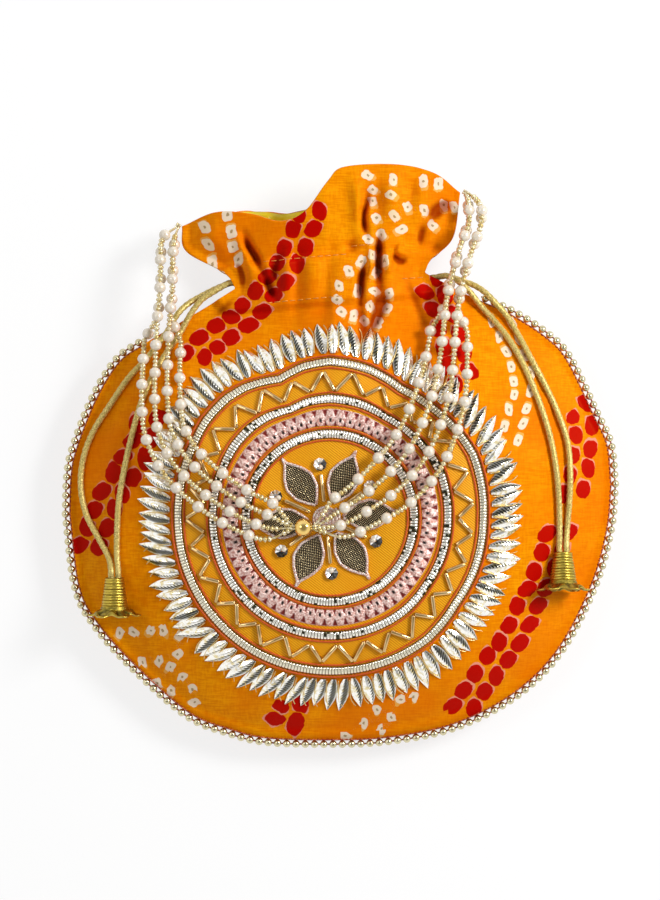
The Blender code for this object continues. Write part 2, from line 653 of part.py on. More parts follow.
def make_strands(tree, collection, pearl):
    """Four strings of beads, plain tubes here, gathered through the gold bead and at both corners."""
    route = smooth_line(HANDLE_ROUTE, CORD_LINE_STEPS)
    route[:, 2] = np.maximum(route[:, 2], STRAND_THREAD + STRAND_GAP)
    route[:, 3] = np.clip(route[:, 3], 0, 1)
    along = np.gradient(route[:, :2], axis=0)
    along /= np.linalg.norm(along, axis=1)[:, None]
    across = np.stack([-along[:, 1], along[:, 0]], -1)
    base = np.array([ground(tree, x, y) for x, y in route[:, :2]])
    for _ in range(3):
        base[1:-1] = (base[:-2] + 2 * base[1:-1] + base[2:]) / 4
    for number in range(STRANDS):
        sideways, up = strand_layout(number, route[:, 2], route[:, 3])
        centre = np.column_stack([route[:, :2] + across * sideways[:, None], base + route[:, 4] + up])
        radius = np.minimum(STRAND, route[:, 2] - STRAND_GAP) / 2
        points = np.column_stack([centre, radius])[::CORD_LINE_STEPS]
        add_tube(f"handle_strand_{number + 1}", points[:, :3], points[:, 3], collection, pearl)


def make_gold_bead(tree, collection, gold):
    """The gold bead that gathers the strands, bored along X."""
    x, y, spacing, _, height = HANDLE_ROUTE[BEAD_POINT]
    centre = Vector((x, y, ground(tree, x, y) + height + spacing / 2))
    bore = GOLD_BEAD_BORE / 2
    half = math.sqrt((GOLD_BEAD / 2) ** 2 - bore**2)
    arc = math.asin(half / (GOLD_BEAD / 2))
    angles = np.linspace(arc, -arc, 6)
    rings = [(GOLD_BEAD / 2 * math.cos(a), GOLD_BEAD / 2 * math.sin(a)) for a in angles]
    bm = bmesh.new()
    around = 10
    made = []
    for radius, along in rings:
        ring = []
        for step in range(around):
            angle = 2 * math.pi * step / around
            y, z = radius * math.cos(angle), radius * math.sin(angle)
            ring.append(bm.verts.new(centre + Vector((along, y, z))))
        made.append(ring)
    for ring, following in zip(made, [*made[1:], made[0]]):
        for step in range(around):
            after = (step + 1) % around
            bm.faces.new((ring[step], ring[after], following[after], following[step]))
    bmesh.ops.recalc_face_normals(bm, faces=bm.faces)
    add_mesh("handle_gold_bead", bm, collection, gold)


def circle(radius, count, x=MOTIF_X, y=MOTIF_Y, turn=0.0):
    angles = turn + 2 * math.pi * np.arange(count) / count
    return np.stack([x + radius * np.cos(angles), y + radius * np.sin(angles)], -1)


def band_surface(tree, radii, height, centre=False):
    """An open ring of cloth laid on the front, between the first and the last radius."""
    bm = bmesh.new()
    rings = []
    for radius in radii:
        rings.append([bm.verts.new(place) for place in lie_on(tree, circle(radius, MOTIF_SECTORS), height)])
    for inside, outside in zip(rings, rings[1:]):
        for step in range(MOTIF_SECTORS):
            after = (step + 1) % MOTIF_SECTORS
            bm.faces.new((inside[step], outside[step], outside[after], inside[after]))
    if centre:
        middle = bm.verts.new(lie_on(tree, [(MOTIF_X, MOTIF_Y)], height)[0])
        for step in range(MOTIF_SECTORS):
            bm.faces.new((middle, rings[0][step], rings[0][(step + 1) % MOTIF_SECTORS]))
    return bm


def make_disc(tree, collection, tissue):
    """The mustard tissue that the motif is worked on. Returns the tree of its upper face."""
    radii = [DISC_RADIUS * share for share in DISC_RINGS]
    top = band_surface(tree, radii, CLOTH_LAY_GAP + DISC_CLOTH, centre=True)
    disc_tree = BVHTree.FromBMesh(top)
    add_mesh("tissue_disc", top, collection, tissue, DISC_CLOTH)
    return disc_tree


def make_ring(name, tree, radius, width, collection, material):
    band = band_surface(tree, (radius - width / 2, radius + width / 2), GAP + RING_HEIGHT)
    add_mesh(name, band, collection, material, RING_HEIGHT)


def make_dori(name, tree, radius, collection, material):
    points = lie_on(tree, circle(radius, MOTIF_SECTORS), GAP + DORI / 2)
    add_tube(name, points, [DORI / 2] * len(points), collection, material, resolution=0, closed=True)


def make_rings(tree, collection, silver, dori, sequins):
    """The silver ribbon rings, each with an orange cord along both edges, and the pink ring."""
    rings = (
        ("outer", OUTER_RING, OUTER_RING_WIDTH),
        ("middle", MIDDLE_RING, MIDDLE_RING_WIDTH),
        ("inner", INNER_RING, INNER_RING_WIDTH),
    )
    for name, radius, width in rings:
        make_ring(f"gota_ring_{name}", tree, radius, width, collection, silver)
        reach = width / 2 + GAP + DORI / 2
        inside, outside = radius - reach, min(radius + reach, DISC_RADIUS - GAP)
        make_dori(f"dori_{name}_inside", tree, inside, collection, dori)
        make_dori(f"dori_{name}_outside", tree, outside, collection, dori)
    make_ring("sequin_ring", tree, SEQUIN_RING, SEQUIN_RING_WIDTH, collection, sequins)


def make_zigzag(tree, collection, gold):
    """Bugle beads end to end in a zigzag between the outer and the middle ring."""
    inside = circle(ZIGZAG_IN, BUGLES)
    outside = circle(ZIGZAG_OUT, BUGLES)
    flat = [outside[i] if i % 2 else inside[i] for i in range(BUGLES)]
    points = lie_on(tree, flat, LAY_GAP + BUGLE / 2)
    add_tube("bugle_zigzag", points, [BUGLE / 2] * BUGLES, collection, gold, resolution=0, closed=True)


def make_fringe(tree, collection, silver):
    """The ring of pointed ribbon petals round the motif, each raised to a ridge."""
    bm = bmesh.new()
    pitch = math.pi / FRINGE_PETALS
    height = CLOTH_LAY_GAP + RING_HEIGHT / 2

    def ring(radius, turn, lift):
        flat = circle(radius, FRINGE_PETALS, turn=turn)
        return [bm.verts.new(place) for place in lie_on(tree, flat, height + lift)]

    inside = ring(FRINGE_IN, 0.0, 0.0)
    base = ring(FRINGE_BASE, 0.0, 0.0)
    ridge = ring(FRINGE_BASE + FRINGE_RIDGE_AT * (FRINGE_OUT - FRINGE_BASE), pitch, FRINGE_RIDGE)
    tips = ring(FRINGE_OUT, pitch, 0.0)
    for step in range(FRINGE_PETALS):
        after = (step + 1) % FRINGE_PETALS
        bm.faces.new((inside[step], base[step], base[after], inside[after]))
        bm.faces.new((base[step], tips[step], ridge[step]))
        bm.faces.new((tips[step], base[after], ridge[step]))
        bm.faces.new((base[after], base[step], ridge[step]))
    add_mesh("petal_fringe", bm, collection, silver, RING_HEIGHT / 2, flat=True)


def petal_outline(angle):
    """A leaf that points out from the flower's middle, base first, as points seen from above."""
    length = PETAL_TIP - PETAL_START
    right = [(PETAL_START + s * length, -w * PETAL_WIDTH / 2) for s, w in PETAL_SHAPE]
    left = [(x, -y) for x, y in right[-2:0:-1]]
    cos, sin = math.cos(angle), math.sin(angle)
    return [(FLOWER_X + x * cos - y * sin, FLOWER_Y + x * sin + y * cos) for x, y in (*right, *left)]


def make_flower(tree, collection, mesh_gold, gold, sequin, clear, silver):
    """Six wire-mesh leaves, with a bugle, a cup sequin and a bead between each two, round a coil."""
    step = 2 * math.pi / FLOWER_PETALS
    for number in range(FLOWER_PETALS):
        angle = PETAL_TURN - number * step
        bm = bmesh.new()
        rim = [bm.verts.new(place) for place in lie_on(tree, petal_outline(angle), LAY_GAP + DISC_CLOTH)]
        middle = PETAL_START + PETAL_CREST_AT * (PETAL_TIP - PETAL_START)
        flat = [(FLOWER_X + middle * math.cos(angle), FLOWER_Y + middle * math.sin(angle))]
        crest = bm.verts.new(lie_on(tree, flat, LAY_GAP + DISC_CLOTH + PETAL_CREST)[0])
        for here, after in zip(rim, [*rim[1:], rim[0]]):
            bm.faces.new((here, after, crest))
        add_mesh(f"flower_petal_{number + 1}", bm, collection, mesh_gold, DISC_CLOTH, flat=True)
        make_spoke(number + 1, angle + step / 2, tree, collection, gold, sequin, clear)
    coil = bmesh.new()
    bmesh.ops.create_cone(
        coil, cap_ends=True, segments=12, radius1=COIL_RADIUS, radius2=COIL_TOP, depth=COIL_HEIGHT
    )
    base = ground(tree, FLOWER_X, FLOWER_Y) + LAY_GAP + COIL_HEIGHT / 2
    bmesh.ops.transform(coil, matrix=Matrix.Translation((FLOWER_X, FLOWER_Y, base)), verts=coil.verts)
    add_mesh("flower_coil", coil, collection, silver)


def make_spoke(number, angle, tree, collection, gold, sequin, clear):
    cos, sin = math.cos(angle), math.sin(angle)

    def at(distance, height):
        x, y = FLOWER_X + distance * cos, FLOWER_Y + distance * sin
        return Vector((x, y, ground(tree, x, y) + height))

    rod = bmesh.new()
    ends = [at(SPOKE_START + share * SPOKE_LENGTH, LAY_GAP + BUGLE / 2) for share in (0, 1)]
    bmesh.ops.create_cone(
        rod, cap_ends=True, segments=6, radius1=BUGLE / 2, radius2=BUGLE / 2, depth=(ends[1] - ends[0]).length
    )
    turn = (ends[1] - ends[0]).to_track_quat("Z", "Y").to_matrix().to_4x4()
    middle = Matrix.Translation((ends[0] + ends[1]) / 2)
    bmesh.ops.transform(rod, matrix=middle @ turn, verts=rod.verts)
    add_mesh(f"spoke_bugle_{number}", rod, collection, gold)
    cup = bmesh.new()
    height = SPOKE_SEQUIN_HEIGHT
    bmesh.ops.create_cone(
        cup, cap_ends=True, segments=8, radius1=SPOKE_SEQUIN / 2, radius2=SPOKE_SEQUIN_TOP / 2, depth=height
    )
    seat = at(SPOKE_SEQUIN_AT, LAY_GAP + height / 2)
    bmesh.ops.transform(cup, matrix=Matrix.Translation(seat), verts=cup.verts)
    add_mesh(f"spoke_sequin_{number}", cup, collection, sequin)
    bead = bmesh.new()
    bmesh.ops.create_uvsphere(bead, u_segments=5, v_segments=3, radius=SPOKE_BEAD / 2)
    seat = seat + Vector((0, 0, height / 2 + GAP + SPOKE_BEAD / 2))
    bmesh.ops.transform(bead, matrix=Matrix.Translation(seat), verts=bead.verts)
    add_mesh(f"spoke_bead_{number}", bead, collection, clear)


clear_scene()
bag = make_collection("potli_bag")
satin = finish_material("orange bandhani satin", (0.87, 0.30, 0.005), 0.38)
lining = finish_material("yellow satin lining", (0.93, 0.62, 0.01), 0.35)
zari = finish_material("pale gold zari cord", (0.62, 0.47, 0.14), 0.42, 0.5)
champagne = finish_material("champagne metal bead", (0.72, 0.60, 0.38), 0.25, 1.0)
brass = finish_material("antique brass", (0.48, 0.34, 0.07), 0.38, 1.0)
pearl = finish_material("cream pearl", (0.86, 0.80, 0.68), 0.22)
gold = finish_material("polished gold", (0.83, 0.60, 0.22), 0.15, 1.0)
silver = finish_material("silver gota ribbon", (0.80, 0.79, 0.76), 0.25, 1.0)
dori = finish_material("orange twisted cord", (0.70, 0.14, 0.01), 0.6)
rose = finish_material("rose sequin", (0.70, 0.38, 0.32), 0.3, 0.6)
tissue = finish_material("mustard tissue", (0.88, 0.42, 0.01), 0.45)
dark_gold = finish_material("dark gold wire mesh", (0.28, 0.20, 0.09), 0.35, 1.0)
mirror = finish_material("mirror sequin", (0.75, 0.73, 0.68), 0.08, 1.0)
clear_bead = finish_material("clear bead", (0.85, 0.82, 0.76), 0.1)

front_tree = make_panels(bag, satin)
make_linings(bag, lining)
make_trim(bag, champagne)

left_bell = bell_frame(front_tree, *LEFT_BELL)
right_bell = bell_frame(front_tree, *RIGHT_BELL)
make_drawstring(front_tree, -1, LEFT_INNER_LEG, LEFT_OUTER_LEG, left_bell, bag, zari)
make_drawstring(front_tree, 1, RIGHT_INNER_LEG, RIGHT_OUTER_LEG, right_bell, bag, zari)
make_bell("bell_left", front_tree, left_bell, bag, brass, zari)
make_bell("bell_right", front_tree, right_bell, bag, brass, zari)

make_strands(front_tree, bag, pearl)
make_gold_bead(front_tree, bag, gold)

disc_tree = make_disc(front_tree, bag, tissue)
make_rings(disc_tree, bag, silver, dori, rose)
make_zigzag(disc_tree, bag, gold)
make_fringe(front_tree, bag, silver)
make_flower(disc_tree, bag, dark_gold, gold, mirror, clear_bead, silver)
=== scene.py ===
"""A potli, a round gathered drawstring bag of bandhani satin with an embroidered front, lying on its back."""

import math

import bpy
import numpy as np
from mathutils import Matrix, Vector
from mathutils.bvhtree import BVHTree


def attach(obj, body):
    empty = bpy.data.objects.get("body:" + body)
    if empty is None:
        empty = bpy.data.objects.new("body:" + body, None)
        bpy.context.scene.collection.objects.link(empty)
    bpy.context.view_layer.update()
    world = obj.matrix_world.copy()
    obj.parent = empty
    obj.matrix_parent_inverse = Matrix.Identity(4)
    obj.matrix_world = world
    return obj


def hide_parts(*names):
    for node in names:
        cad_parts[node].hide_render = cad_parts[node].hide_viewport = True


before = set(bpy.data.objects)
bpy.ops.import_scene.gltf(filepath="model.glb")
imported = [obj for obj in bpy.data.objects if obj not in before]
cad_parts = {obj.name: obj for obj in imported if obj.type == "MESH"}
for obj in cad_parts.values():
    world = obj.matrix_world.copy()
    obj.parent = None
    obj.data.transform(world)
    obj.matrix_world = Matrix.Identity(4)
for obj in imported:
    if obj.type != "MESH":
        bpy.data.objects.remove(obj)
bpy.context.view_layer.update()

# The camera looks straight down on the bag, as the photograph does. The photograph is 900 pixels tall at
# 0.44 mm a pixel, taken at the height of the middle of the front.
PIXEL = 0.00044
VIEW_CENTRE = (-0.0046, 0.0032)
VIEW_LEVEL = 0.024
LENS = 135
camera_data = bpy.data.cameras.new("camera")
camera_data.lens = LENS
camera_data.sensor_width = 36
camera = bpy.data.objects.new("camera", camera_data)
camera.location = (*VIEW_CENTRE, VIEW_LEVEL + 900 * PIXEL * LENS / camera_data.sensor_width)
bpy.context.scene.collection.objects.link(camera)
bpy.context.scene.camera = camera
bpy.context.scene.view_settings.view_transform = "Standard"

# The table: a white card. It keeps the shadow of the bag, and the eye, and metal that mirrors it, see it as
# pure white where no shadow falls.


def add_node(tree, kind, inputs=None, **settings):
    """Adds a node. inputs maps a socket's name or number to a value, or to the node or socket that feeds it."""
    made = tree.nodes.new("ShaderNode" + kind)
    for name, value in settings.items():
        setattr(made, name, value)
    for socket, value in (inputs or {}).items():
        if isinstance(value, bpy.types.Node):
            value = value.outputs[2 if value.type == "MIX" else 0]
        if isinstance(value, bpy.types.NodeSocket):
            tree.links.new(value, made.inputs[socket])
        else:
            made.inputs[socket].default_value = value
    return made


def colour(code):
    """An sRGB hex colour as linear values."""
    parts = [int(code[i: i + 2], 16) / 255 for i in (1, 3, 5)]
    linear = [c / 12.92 if c <= 0.04045 else ((c + 0.055) / 1.055) ** 2.4 for c in parts]
    return (*linear, 1.0)


def start_material(name, **inputs):
    """A material whose shader has these uniform values, set by input names with _ for a space."""
    material = bpy.data.materials.new(name)
    material.use_nodes = True
    shader = material.node_tree.nodes["Principled BSDF"]
    for socket, value in inputs.items():
        shader.inputs[socket.replace("_", " ").title().replace("Ior", "IOR")].default_value = value
    return material, material.node_tree, shader


def looked_at(tree):
    """1 where the eye sees the surface, itself or in a mirror or through glass, and 0 where light falls."""
    path = add_node(tree, "LightPath")
    sees = add_node(
        tree, "Math", {0: path.outputs["Is Camera Ray"], 1: path.outputs["Is Glossy Ray"]}, operation="MAXIMUM"
    )
    return add_node(tree, "Math", {0: sees, 1: path.outputs["Is Transmission Ray"]}, operation="MAXIMUM")


table_mesh = bpy.data.meshes.new("table_card")
table_mesh.from_pydata([(-9, -9, 0), (9, -9, 0), (9, 9, 0), (-9, 9, 0)], [], [(0, 1, 2, 3)])
table = bpy.data.objects.new("table_card", table_mesh)
table.location.z = -0.0002
bpy.context.scene.collection.objects.link(table)
card, tree, shader = start_material(
    "white card", roughness=0.9, base_color=colour("#F2F2F2"), specular_ior_level=0.1
)
sees = looked_at(tree)
share = add_node(tree, "Math", {0: sees, 1: 0.72}, operation="MULTIPLY")
white = add_node(tree, "Emission", {"Color": (1, 1, 1, 1), "Strength": 1.08})
mix = add_node(tree, "MixShader", {0: share, 1: shader, 2: white})
tree.links.new(mix.outputs[0], tree.nodes["Material Output"].inputs["Surface"])
table_mesh.materials.append(card)

# The light: a white room with a darker ceiling, one large soft lamp to the right of the bag and a smaller
# one to its left.
world = bpy.data.worlds.new("white room")
bpy.context.scene.world = world
world.use_nodes = True
tree = world.node_tree
place = add_node(tree, "TexCoord")
split = add_node(tree, "SeparateXYZ", {0: place.outputs["Generated"]})
ceiling = add_node(
    tree, "MapRange", {0: split.outputs["Z"], 1: 0.45, 2: 0.95, 3: 1.0, 4: 0.30},
    interpolation_type="SMOOTHSTEP"
)
sees = looked_at(tree)
seen = add_node(tree, "MapRange", {0: sees, 3: 0.53, 4: 1.0})
strength = add_node(tree, "Math", {0: seen, 1: ceiling}, operation="MULTIPLY")
tree.links.new(strength.outputs[0], tree.nodes["Background"].inputs["Strength"])
tree.nodes["Background"].inputs["Color"].default_value = (1, 1, 1, 1)
for name, place, size, power in (
    ("lamp right", (0.95, 0.45, 0.95), 0.42, 15.5),
    ("lamp left", (-0.9, 0.25, 1.3), 0.50, 3.0),
):
    lamp_data = bpy.data.lights.new(name, "AREA")
    lamp_data.energy = power
    lamp_data.size = size
    lamp = bpy.data.objects.new(name, lamp_data)
    lamp.location = place
    lamp.rotation_euler = (-Vector(place)).to_track_quat("-Z", "Y").to_euler()
    bpy.context.scene.collection.objects.link(lamp)


# The shape of the bag. Two panels of satin are sewn together round the edge, turned, filled out a little and
# drawn together at the neck, and above the neck the cloth stands out as a ruffle. Sizes in metres.
BAG_WIDTH = 0.240
BODY_HEIGHT = 0.2033
RUFFLE_HEIGHT = 0.0506
RUFFLE_WIDTH = 0.1232
RUFFLE_SHIFT = -0.0086
NECK_LEFT = (-0.0464, 0.0745)
NECK_RIGHT = (0.0372, 0.0815)
BOTTOM = -0.1253
NECK = 0.0780
NECK_AT = 0.74
SEAM_HEIGHT = 0.014
FRONT_CROWN = 0.026
BACK_CROWN = 0.017
CROWN_REACH = 0.085
SEAM_ALLOWANCE = 0.003
TUNNEL_LIFT = 0.0036
CLOTH = 0.0012
GAP = 0.0003
MOTIF = (-0.0046, -0.0263)
OUTSIDE_GROUND = SEAM_HEIGHT + GAP / 2 + CLOTH
BOTTOM_EDGE = (
    (-1.000, 0.491), (-0.965, 0.333), (-0.890, 0.249), (-0.750, 0.158), (-0.560, 0.060),
    (-0.413, 0.024), (-0.270, 0.004), (-0.020, 0.000), (0.178, 0.006), (0.413, 0.034),
    (0.633, 0.099), (0.800, 0.195), (0.926, 0.337), (0.985, 0.461), (1.000, 0.556),
)
LEFT_EDGE = (
    (-1.000, 0.491), (-0.995, 0.576), (-0.975, 0.634), (-0.905, 0.740), (-0.820, 0.822),
    (-0.722, 0.864), (-0.512, 0.937),
)
RIGHT_EDGE = (
    (1.000, 0.556), (0.985, 0.643), (0.934, 0.710), (0.838, 0.827), (0.761, 0.877),
    (0.625, 0.929), (0.475, 0.968),
)
LEFT_RUFFLE = ((-0.693, 0.069), (-0.971, 0.261), (-1.000, 0.478))
RIGHT_RUFFLE = ((0.794, 0.192), (0.950, 0.381), (1.000, 0.773))
FRONT_MOUTH = (
    (-1.000, 0.478), (-0.756, 0.591), (-0.506, 0.573), (-0.286, 0.504), (-0.114, 0.591),
    (0.050, 0.852), (0.172, 0.974), (0.536, 1.000), (0.815, 0.931), (1.000, 0.773),
)
BACK_MOUTH = (
    (-1.000, 0.478), (-0.756, 0.585), (-0.506, 0.625), (-0.286, 0.605), (-0.114, 0.640),
    (0.050, 0.775), (0.172, 0.873), (0.536, 0.943), (0.815, 0.883), (1.000, 0.773),
)


def smooth_line(points, steps=12):
    """A dense line through the points, as a Catmull-Rom curve."""
    points = np.asarray(points, float)
    ends = np.vstack([2 * points[0] - points[1], points, 2 * points[-1] - points[-2]])
    t = np.linspace(0, 1, steps, endpoint=False)[:, None]
    pieces = []
    for a, b, c, d in zip(ends, ends[1:], ends[2:], ends[3:]):
        bend = (2 * a - 5 * b + 4 * c - d) * t**2
        pieces.append(0.5 * (2 * b + (c - a) * t + bend + (3 * b - a - 3 * c + d) * t**3))
    return np.vstack([*pieces, points[-1:]])


def distance_along(line, size=3):
    return np.concatenate([[0], np.cumsum(np.linalg.norm(np.diff(line[:, :size], axis=0), axis=1))])


def at_share(line, share, size=2):
    """Points at these shares of the line's length."""
    length = distance_along(line, size)
    share = np.asarray(share, float) * length[-1]
    return np.stack([np.interp(share, length, line[:, i]) for i in range(line.shape[1])], -1)


def even_points(line, step, size=3):
    """The line walked in equal steps of about this length."""
    count = max(2, round(distance_along(line, size)[-1] / step) + 1)
    return at_share(line, np.linspace(0, 1, count), size)


def smooth_step(low, high, value):
    share = np.clip((value - low) / (high - low), 0, 1)
    return share * share * (3 - 2 * share)


def body_points(shares):
    return [(x * BAG_WIDTH / 2, BOTTOM + y * BODY_HEIGHT) for x, y in shares]


def ruffle_points(shares):
    return [(RUFFLE_SHIFT + x * RUFFLE_WIDTH / 2, NECK + y * RUFFLE_HEIGHT) for x, y in shares]


BOTTOM_LINE = smooth_line(body_points(BOTTOM_EDGE))
LEFT_LINE = smooth_line([*body_points(LEFT_EDGE), NECK_LEFT])
RIGHT_LINE = smooth_line([*body_points(RIGHT_EDGE), NECK_RIGHT])
LEFT_RUFFLE_LINE = smooth_line([NECK_LEFT, *ruffle_points(LEFT_RUFFLE)])
RIGHT_RUFFLE_LINE = smooth_line([NECK_RIGHT, *ruffle_points(RIGHT_RUFFLE)])
SEAM_LINE = np.vstack([LEFT_RUFFLE_LINE[::-1], LEFT_LINE[::-1], BOTTOM_LINE, RIGHT_LINE, RIGHT_RUFFLE_LINE])


def side_points(body, ruffle, v):
    below = at_share(body, np.clip(v / NECK_AT, 0, 1))
    above = at_share(ruffle, np.clip((v - NECK_AT) / (1 - NECK_AT), 0, 1))
    return np.where((v < NECK_AT)[..., None], below, above)


def panel_points(u, v, mouth):
    """Where share u across and share v up a panel lies, seen from above."""
    bottom = at_share(BOTTOM_LINE, u)
    top = at_share(smooth_line(ruffle_points(mouth)), u)
    left = side_points(LEFT_LINE, LEFT_RUFFLE_LINE, v)
    right = side_points(RIGHT_LINE, RIGHT_RUFFLE_LINE, v)
    low = ((1 - v) ** 2.5)[..., None]
    across = u[..., None]
    corner_left = low * BOTTOM_LINE[0] + (1 - low) * LEFT_RUFFLE_LINE[-1]
    corner_right = low * BOTTOM_LINE[-1] + (1 - low) * RIGHT_RUFFLE_LINE[-1]
    return low * bottom + (1 - low) * top + (1 - across) * (left - corner_left) + across * (right - corner_right)


def evened_out(flat, rounds, reach=0.030):
    """Relaxes the grid near both ends of the neck, where the outline turns inward, so no cell folds over."""
    far = [np.linalg.norm(flat - corner, axis=-1) for corner in (NECK_LEFT, NECK_RIGHT)]
    weight = 0.9 * np.clip(1.5 - np.minimum(*far) / reach, 0, 1)[1:-1, 1:-1, None]
    for _ in range(rounds):
        east, west, north, south = flat[1:-1, 2:], flat[1:-1, :-2], flat[2:, 1:-1], flat[:-2, 1:-1]
        across, up = (east - west) / 2, (north - south) / 2
        up_square, across_square = (up**2).sum(-1, keepdims=True), (across**2).sum(-1, keepdims=True)
        skew = (flat[2:, 2:] - flat[2:, :-2] - flat[:-2, 2:] + flat[:-2, :-2]) / 4
        mean = up_square * (east + west) + across_square * (north + south)
        mean = mean - 2 * (across * up).sum(-1, keepdims=True) * skew
        mean = mean / (2 * (up_square + across_square) + 1e-18)
        flat[1:-1, 1:-1] += weight * (mean - flat[1:-1, 1:-1])
    return flat


def line_place(points, line):
    """For each point, seen from above: distance from the line, signed by its side, and distance along it."""
    start, span = line[:-1, :2], np.diff(line[:, :2], axis=0)
    square = np.maximum((span**2).sum(1), 1e-18)
    along = distance_along(line, 2)
    away, walked = [], []
    for flat in np.array_split(points.reshape(-1, 2), 24):
        offset = flat[:, None, :] - start
        share = np.clip((offset * span).sum(-1) / square, 0, 1)
        gap = offset - share[..., None] * span
        distance = np.linalg.norm(gap, axis=-1)
        near = distance.argmin(1)
        pick = np.arange(len(flat)), near
        side = np.sign(span[near, 0] * gap[pick][:, 1] - span[near, 1] * gap[pick][:, 0])
        away.append(distance[pick] * np.where(side == 0, 1, side))
        walked.append(along[near] + share[pick] * (along[near + 1] - along[near]))
    shape = points.shape[:-1]
    return np.concatenate(away).reshape(shape), np.concatenate(walked).reshape(shape)


def edge_distance(points):
    return np.abs(line_place(points, SEAM_LINE)[0])


def fullness(points, v):
    """How far the cloth stands off the seam plane, from 0 at the seam to 1 on the full body."""
    share = np.clip((edge_distance(points) - SEAM_ALLOWANCE) / (CROWN_REACH - SEAM_ALLOWANCE), 0, 1)
    gathered = 1 - 0.5 * smooth_step(0.44, NECK_AT, v) + 0.10 * smooth_step(NECK_AT, 1, v)
    return (1 - (1 - share) ** 2.4) * gathered


def tunnel_share(points):
    away = np.abs(line_place(points, np.array([NECK_LEFT, NECK_RIGHT]))[0])
    return 1 - smooth_step(0.0085, 0.0125, away)


# Creases and ridges of the gathered cloth: height in mm, negative for a crease, half width in mm, and the
# points in mm that it runs through, seen from above.
FRONT_GATHERS = (
    (-2.2, 1.6, ((11.6, 119.0), (11.4, 113.0), (10.2, 107.5))),
    (-5.0, 1.5, ((11.4, 112.5), (10.1, 107.0), (10.5, 101.2), (11.6, 96.5))),
    (3.0, 3.0, ((6.0, 122.0), (7.4, 114.0), (8.0, 101.0))),
    (-7.5, 1.7, ((16.9, 98.5), (16.8, 91.0), (16.7, 84.0), (16.9, 75.0))),
    (-3.0, 2.2, ((16.8, 77.0), (16.4, 70.0), (14.9, 60.0), (12.5, 50.0))),
    (3.0, 1.7, ((13.2, 94.0), (13.3, 86.0), (13.4, 79.0))),
    (-6.5, 1.6, ((11.0, 85.0), (9.2, 79.0), (8.8, 73.8), (8.6, 67.5))),
    (-3.2, 2.2, ((8.8, 70.0), (8.6, 64.0), (9.8, 57.0), (8.0, 47.0))),
    (-3.0, 2.2, ((18.9, 77.0), (19.2, 70.0), (18.0, 64.0), (12.5, 56.0))),
    (2.6, 1.8, ((20.6, 92.0), (21.0, 86.0), (21.6, 79.0))),
    (-4.2, 1.7, ((23.0, 91.0), (24.4, 87.6), (27.0, 86.4), (30.0, 88.6))),
    (3.4, 2.6, ((24.0, 93.0), (27.0, 92.0), (30.0, 92.5))),
    (-3.4, 1.8, ((36.8, 103.0), (35.4, 97.0), (35.8, 92.0))),
    (2.4, 2.0, ((40.0, 99.0), (38.6, 93.0), (36.4, 89.0))),
    (-4.6, 3.2, ((51.6, 112.0), (45.0, 110.5), (41.2, 107.0), (39.2, 103.0))),
    (-1.8, 2.4, ((45.0, 95.5), (41.0, 92.6), (37.0, 89.4))),
    (-2.4, 3.4, ((3.0, 96.0), (5.4, 92.5), (6.4, 89.0))),
    (2.8, 5.5, ((24.0, 122.0), (23.0, 110.0), (20.5, 101.0))),
    (-2.0, 3.0, ((17.0, 122.0), (16.4, 112.0), (15.6, 104.0))),
    (-2.0, 3.2, ((33.0, 124.0), (31.5, 114.0), (30.0, 104.0))),
    (-2.4, 2.4, ((27.0, 82.0), (31.0, 74.0), (36.0, 62.0), (42.0, 50.0))),
    (-5.4, 1.8, ((-42.5, 98.5), (-40.5, 93.0), (-37.4, 88.0), (-34.2, 81.0))),
    (-4.8, 1.7, ((-48.0, 86.0), (-44.6, 83.5), (-43.2, 78.5), (-43.4, 73.5))),
    (3.0, 2.2, ((-45.5, 96.0), (-42.0, 88.0), (-39.6, 81.0), (-39.0, 74.0))),
    (-4.8, 1.8, ((-33.5, 80.0), (-31.0, 74.0), (-28.6, 69.5))),
    (-3.2, 2.4, ((-26.4, 91.0), (-28.8, 82.0), (-27.0, 75.5))),
    (-2.6, 2.0, ((-46.5, 71.0), (-50.0, 67.0), (-57.0, 61.0))),
    (2.4, 4.0, ((-60.0, 100.0), (-53.0, 91.0), (-48.0, 84.0))),
    (1.6, 3.2, ((-24.0, 92.0), (-23.5, 80.0), (-24.0, 66.0))),
    (-1.6, 3.0, ((-19.5, 96.0), (-18.5, 84.0), (-19.0, 70.0), (-20.5, 58.0))),
    (-1.4, 3.0, ((-5.0, 98.0), (-4.6, 84.0), (-6.0, 70.0), (-8.5, 58.0))),
    (1.4, 4.0, ((-12.0, 92.0), (-12.5, 78.0), (-14.0, 62.0))),
)


def gathers(points, lines):
    """Sum of the creases and ridges over these points."""
    height = np.zeros(points.shape[:-1])
    for rise, half_width, route in lines:
        line = smooth_line(np.array(route) / 1000, 8)
        away, walked = line_place(points, line)
        length = distance_along(line, 2)[-1]
        ends = smooth_step(0, 0.35 * length, walked) * (1 - smooth_step(0.60 * length, length, walked))
        profile = np.exp(-((away * 1000 / half_width) ** 2))
        height += rise / 1000 * profile * (0.25 + 0.75 * ends) * np.exp(-np.maximum(np.abs(away) - 0.012, 0) / 0.002)
    return height


def ripple(points, seed, length, rise):
    """Slow uneven waves of cloth, as a sum of sines in fixed pseudo-random directions."""
    random = np.random.default_rng(seed)
    total = np.zeros(points.shape[:-1])
    for _ in range(9):
        angle, phase = random.uniform(0, 2 * math.pi, 2)
        wave = 2 * math.pi / (length * random.uniform(0.7, 1.5))
        total += np.sin(wave * (points[..., 0] * math.cos(angle) + points[..., 1] * math.sin(angle)) + phase)
    return rise * total / 3


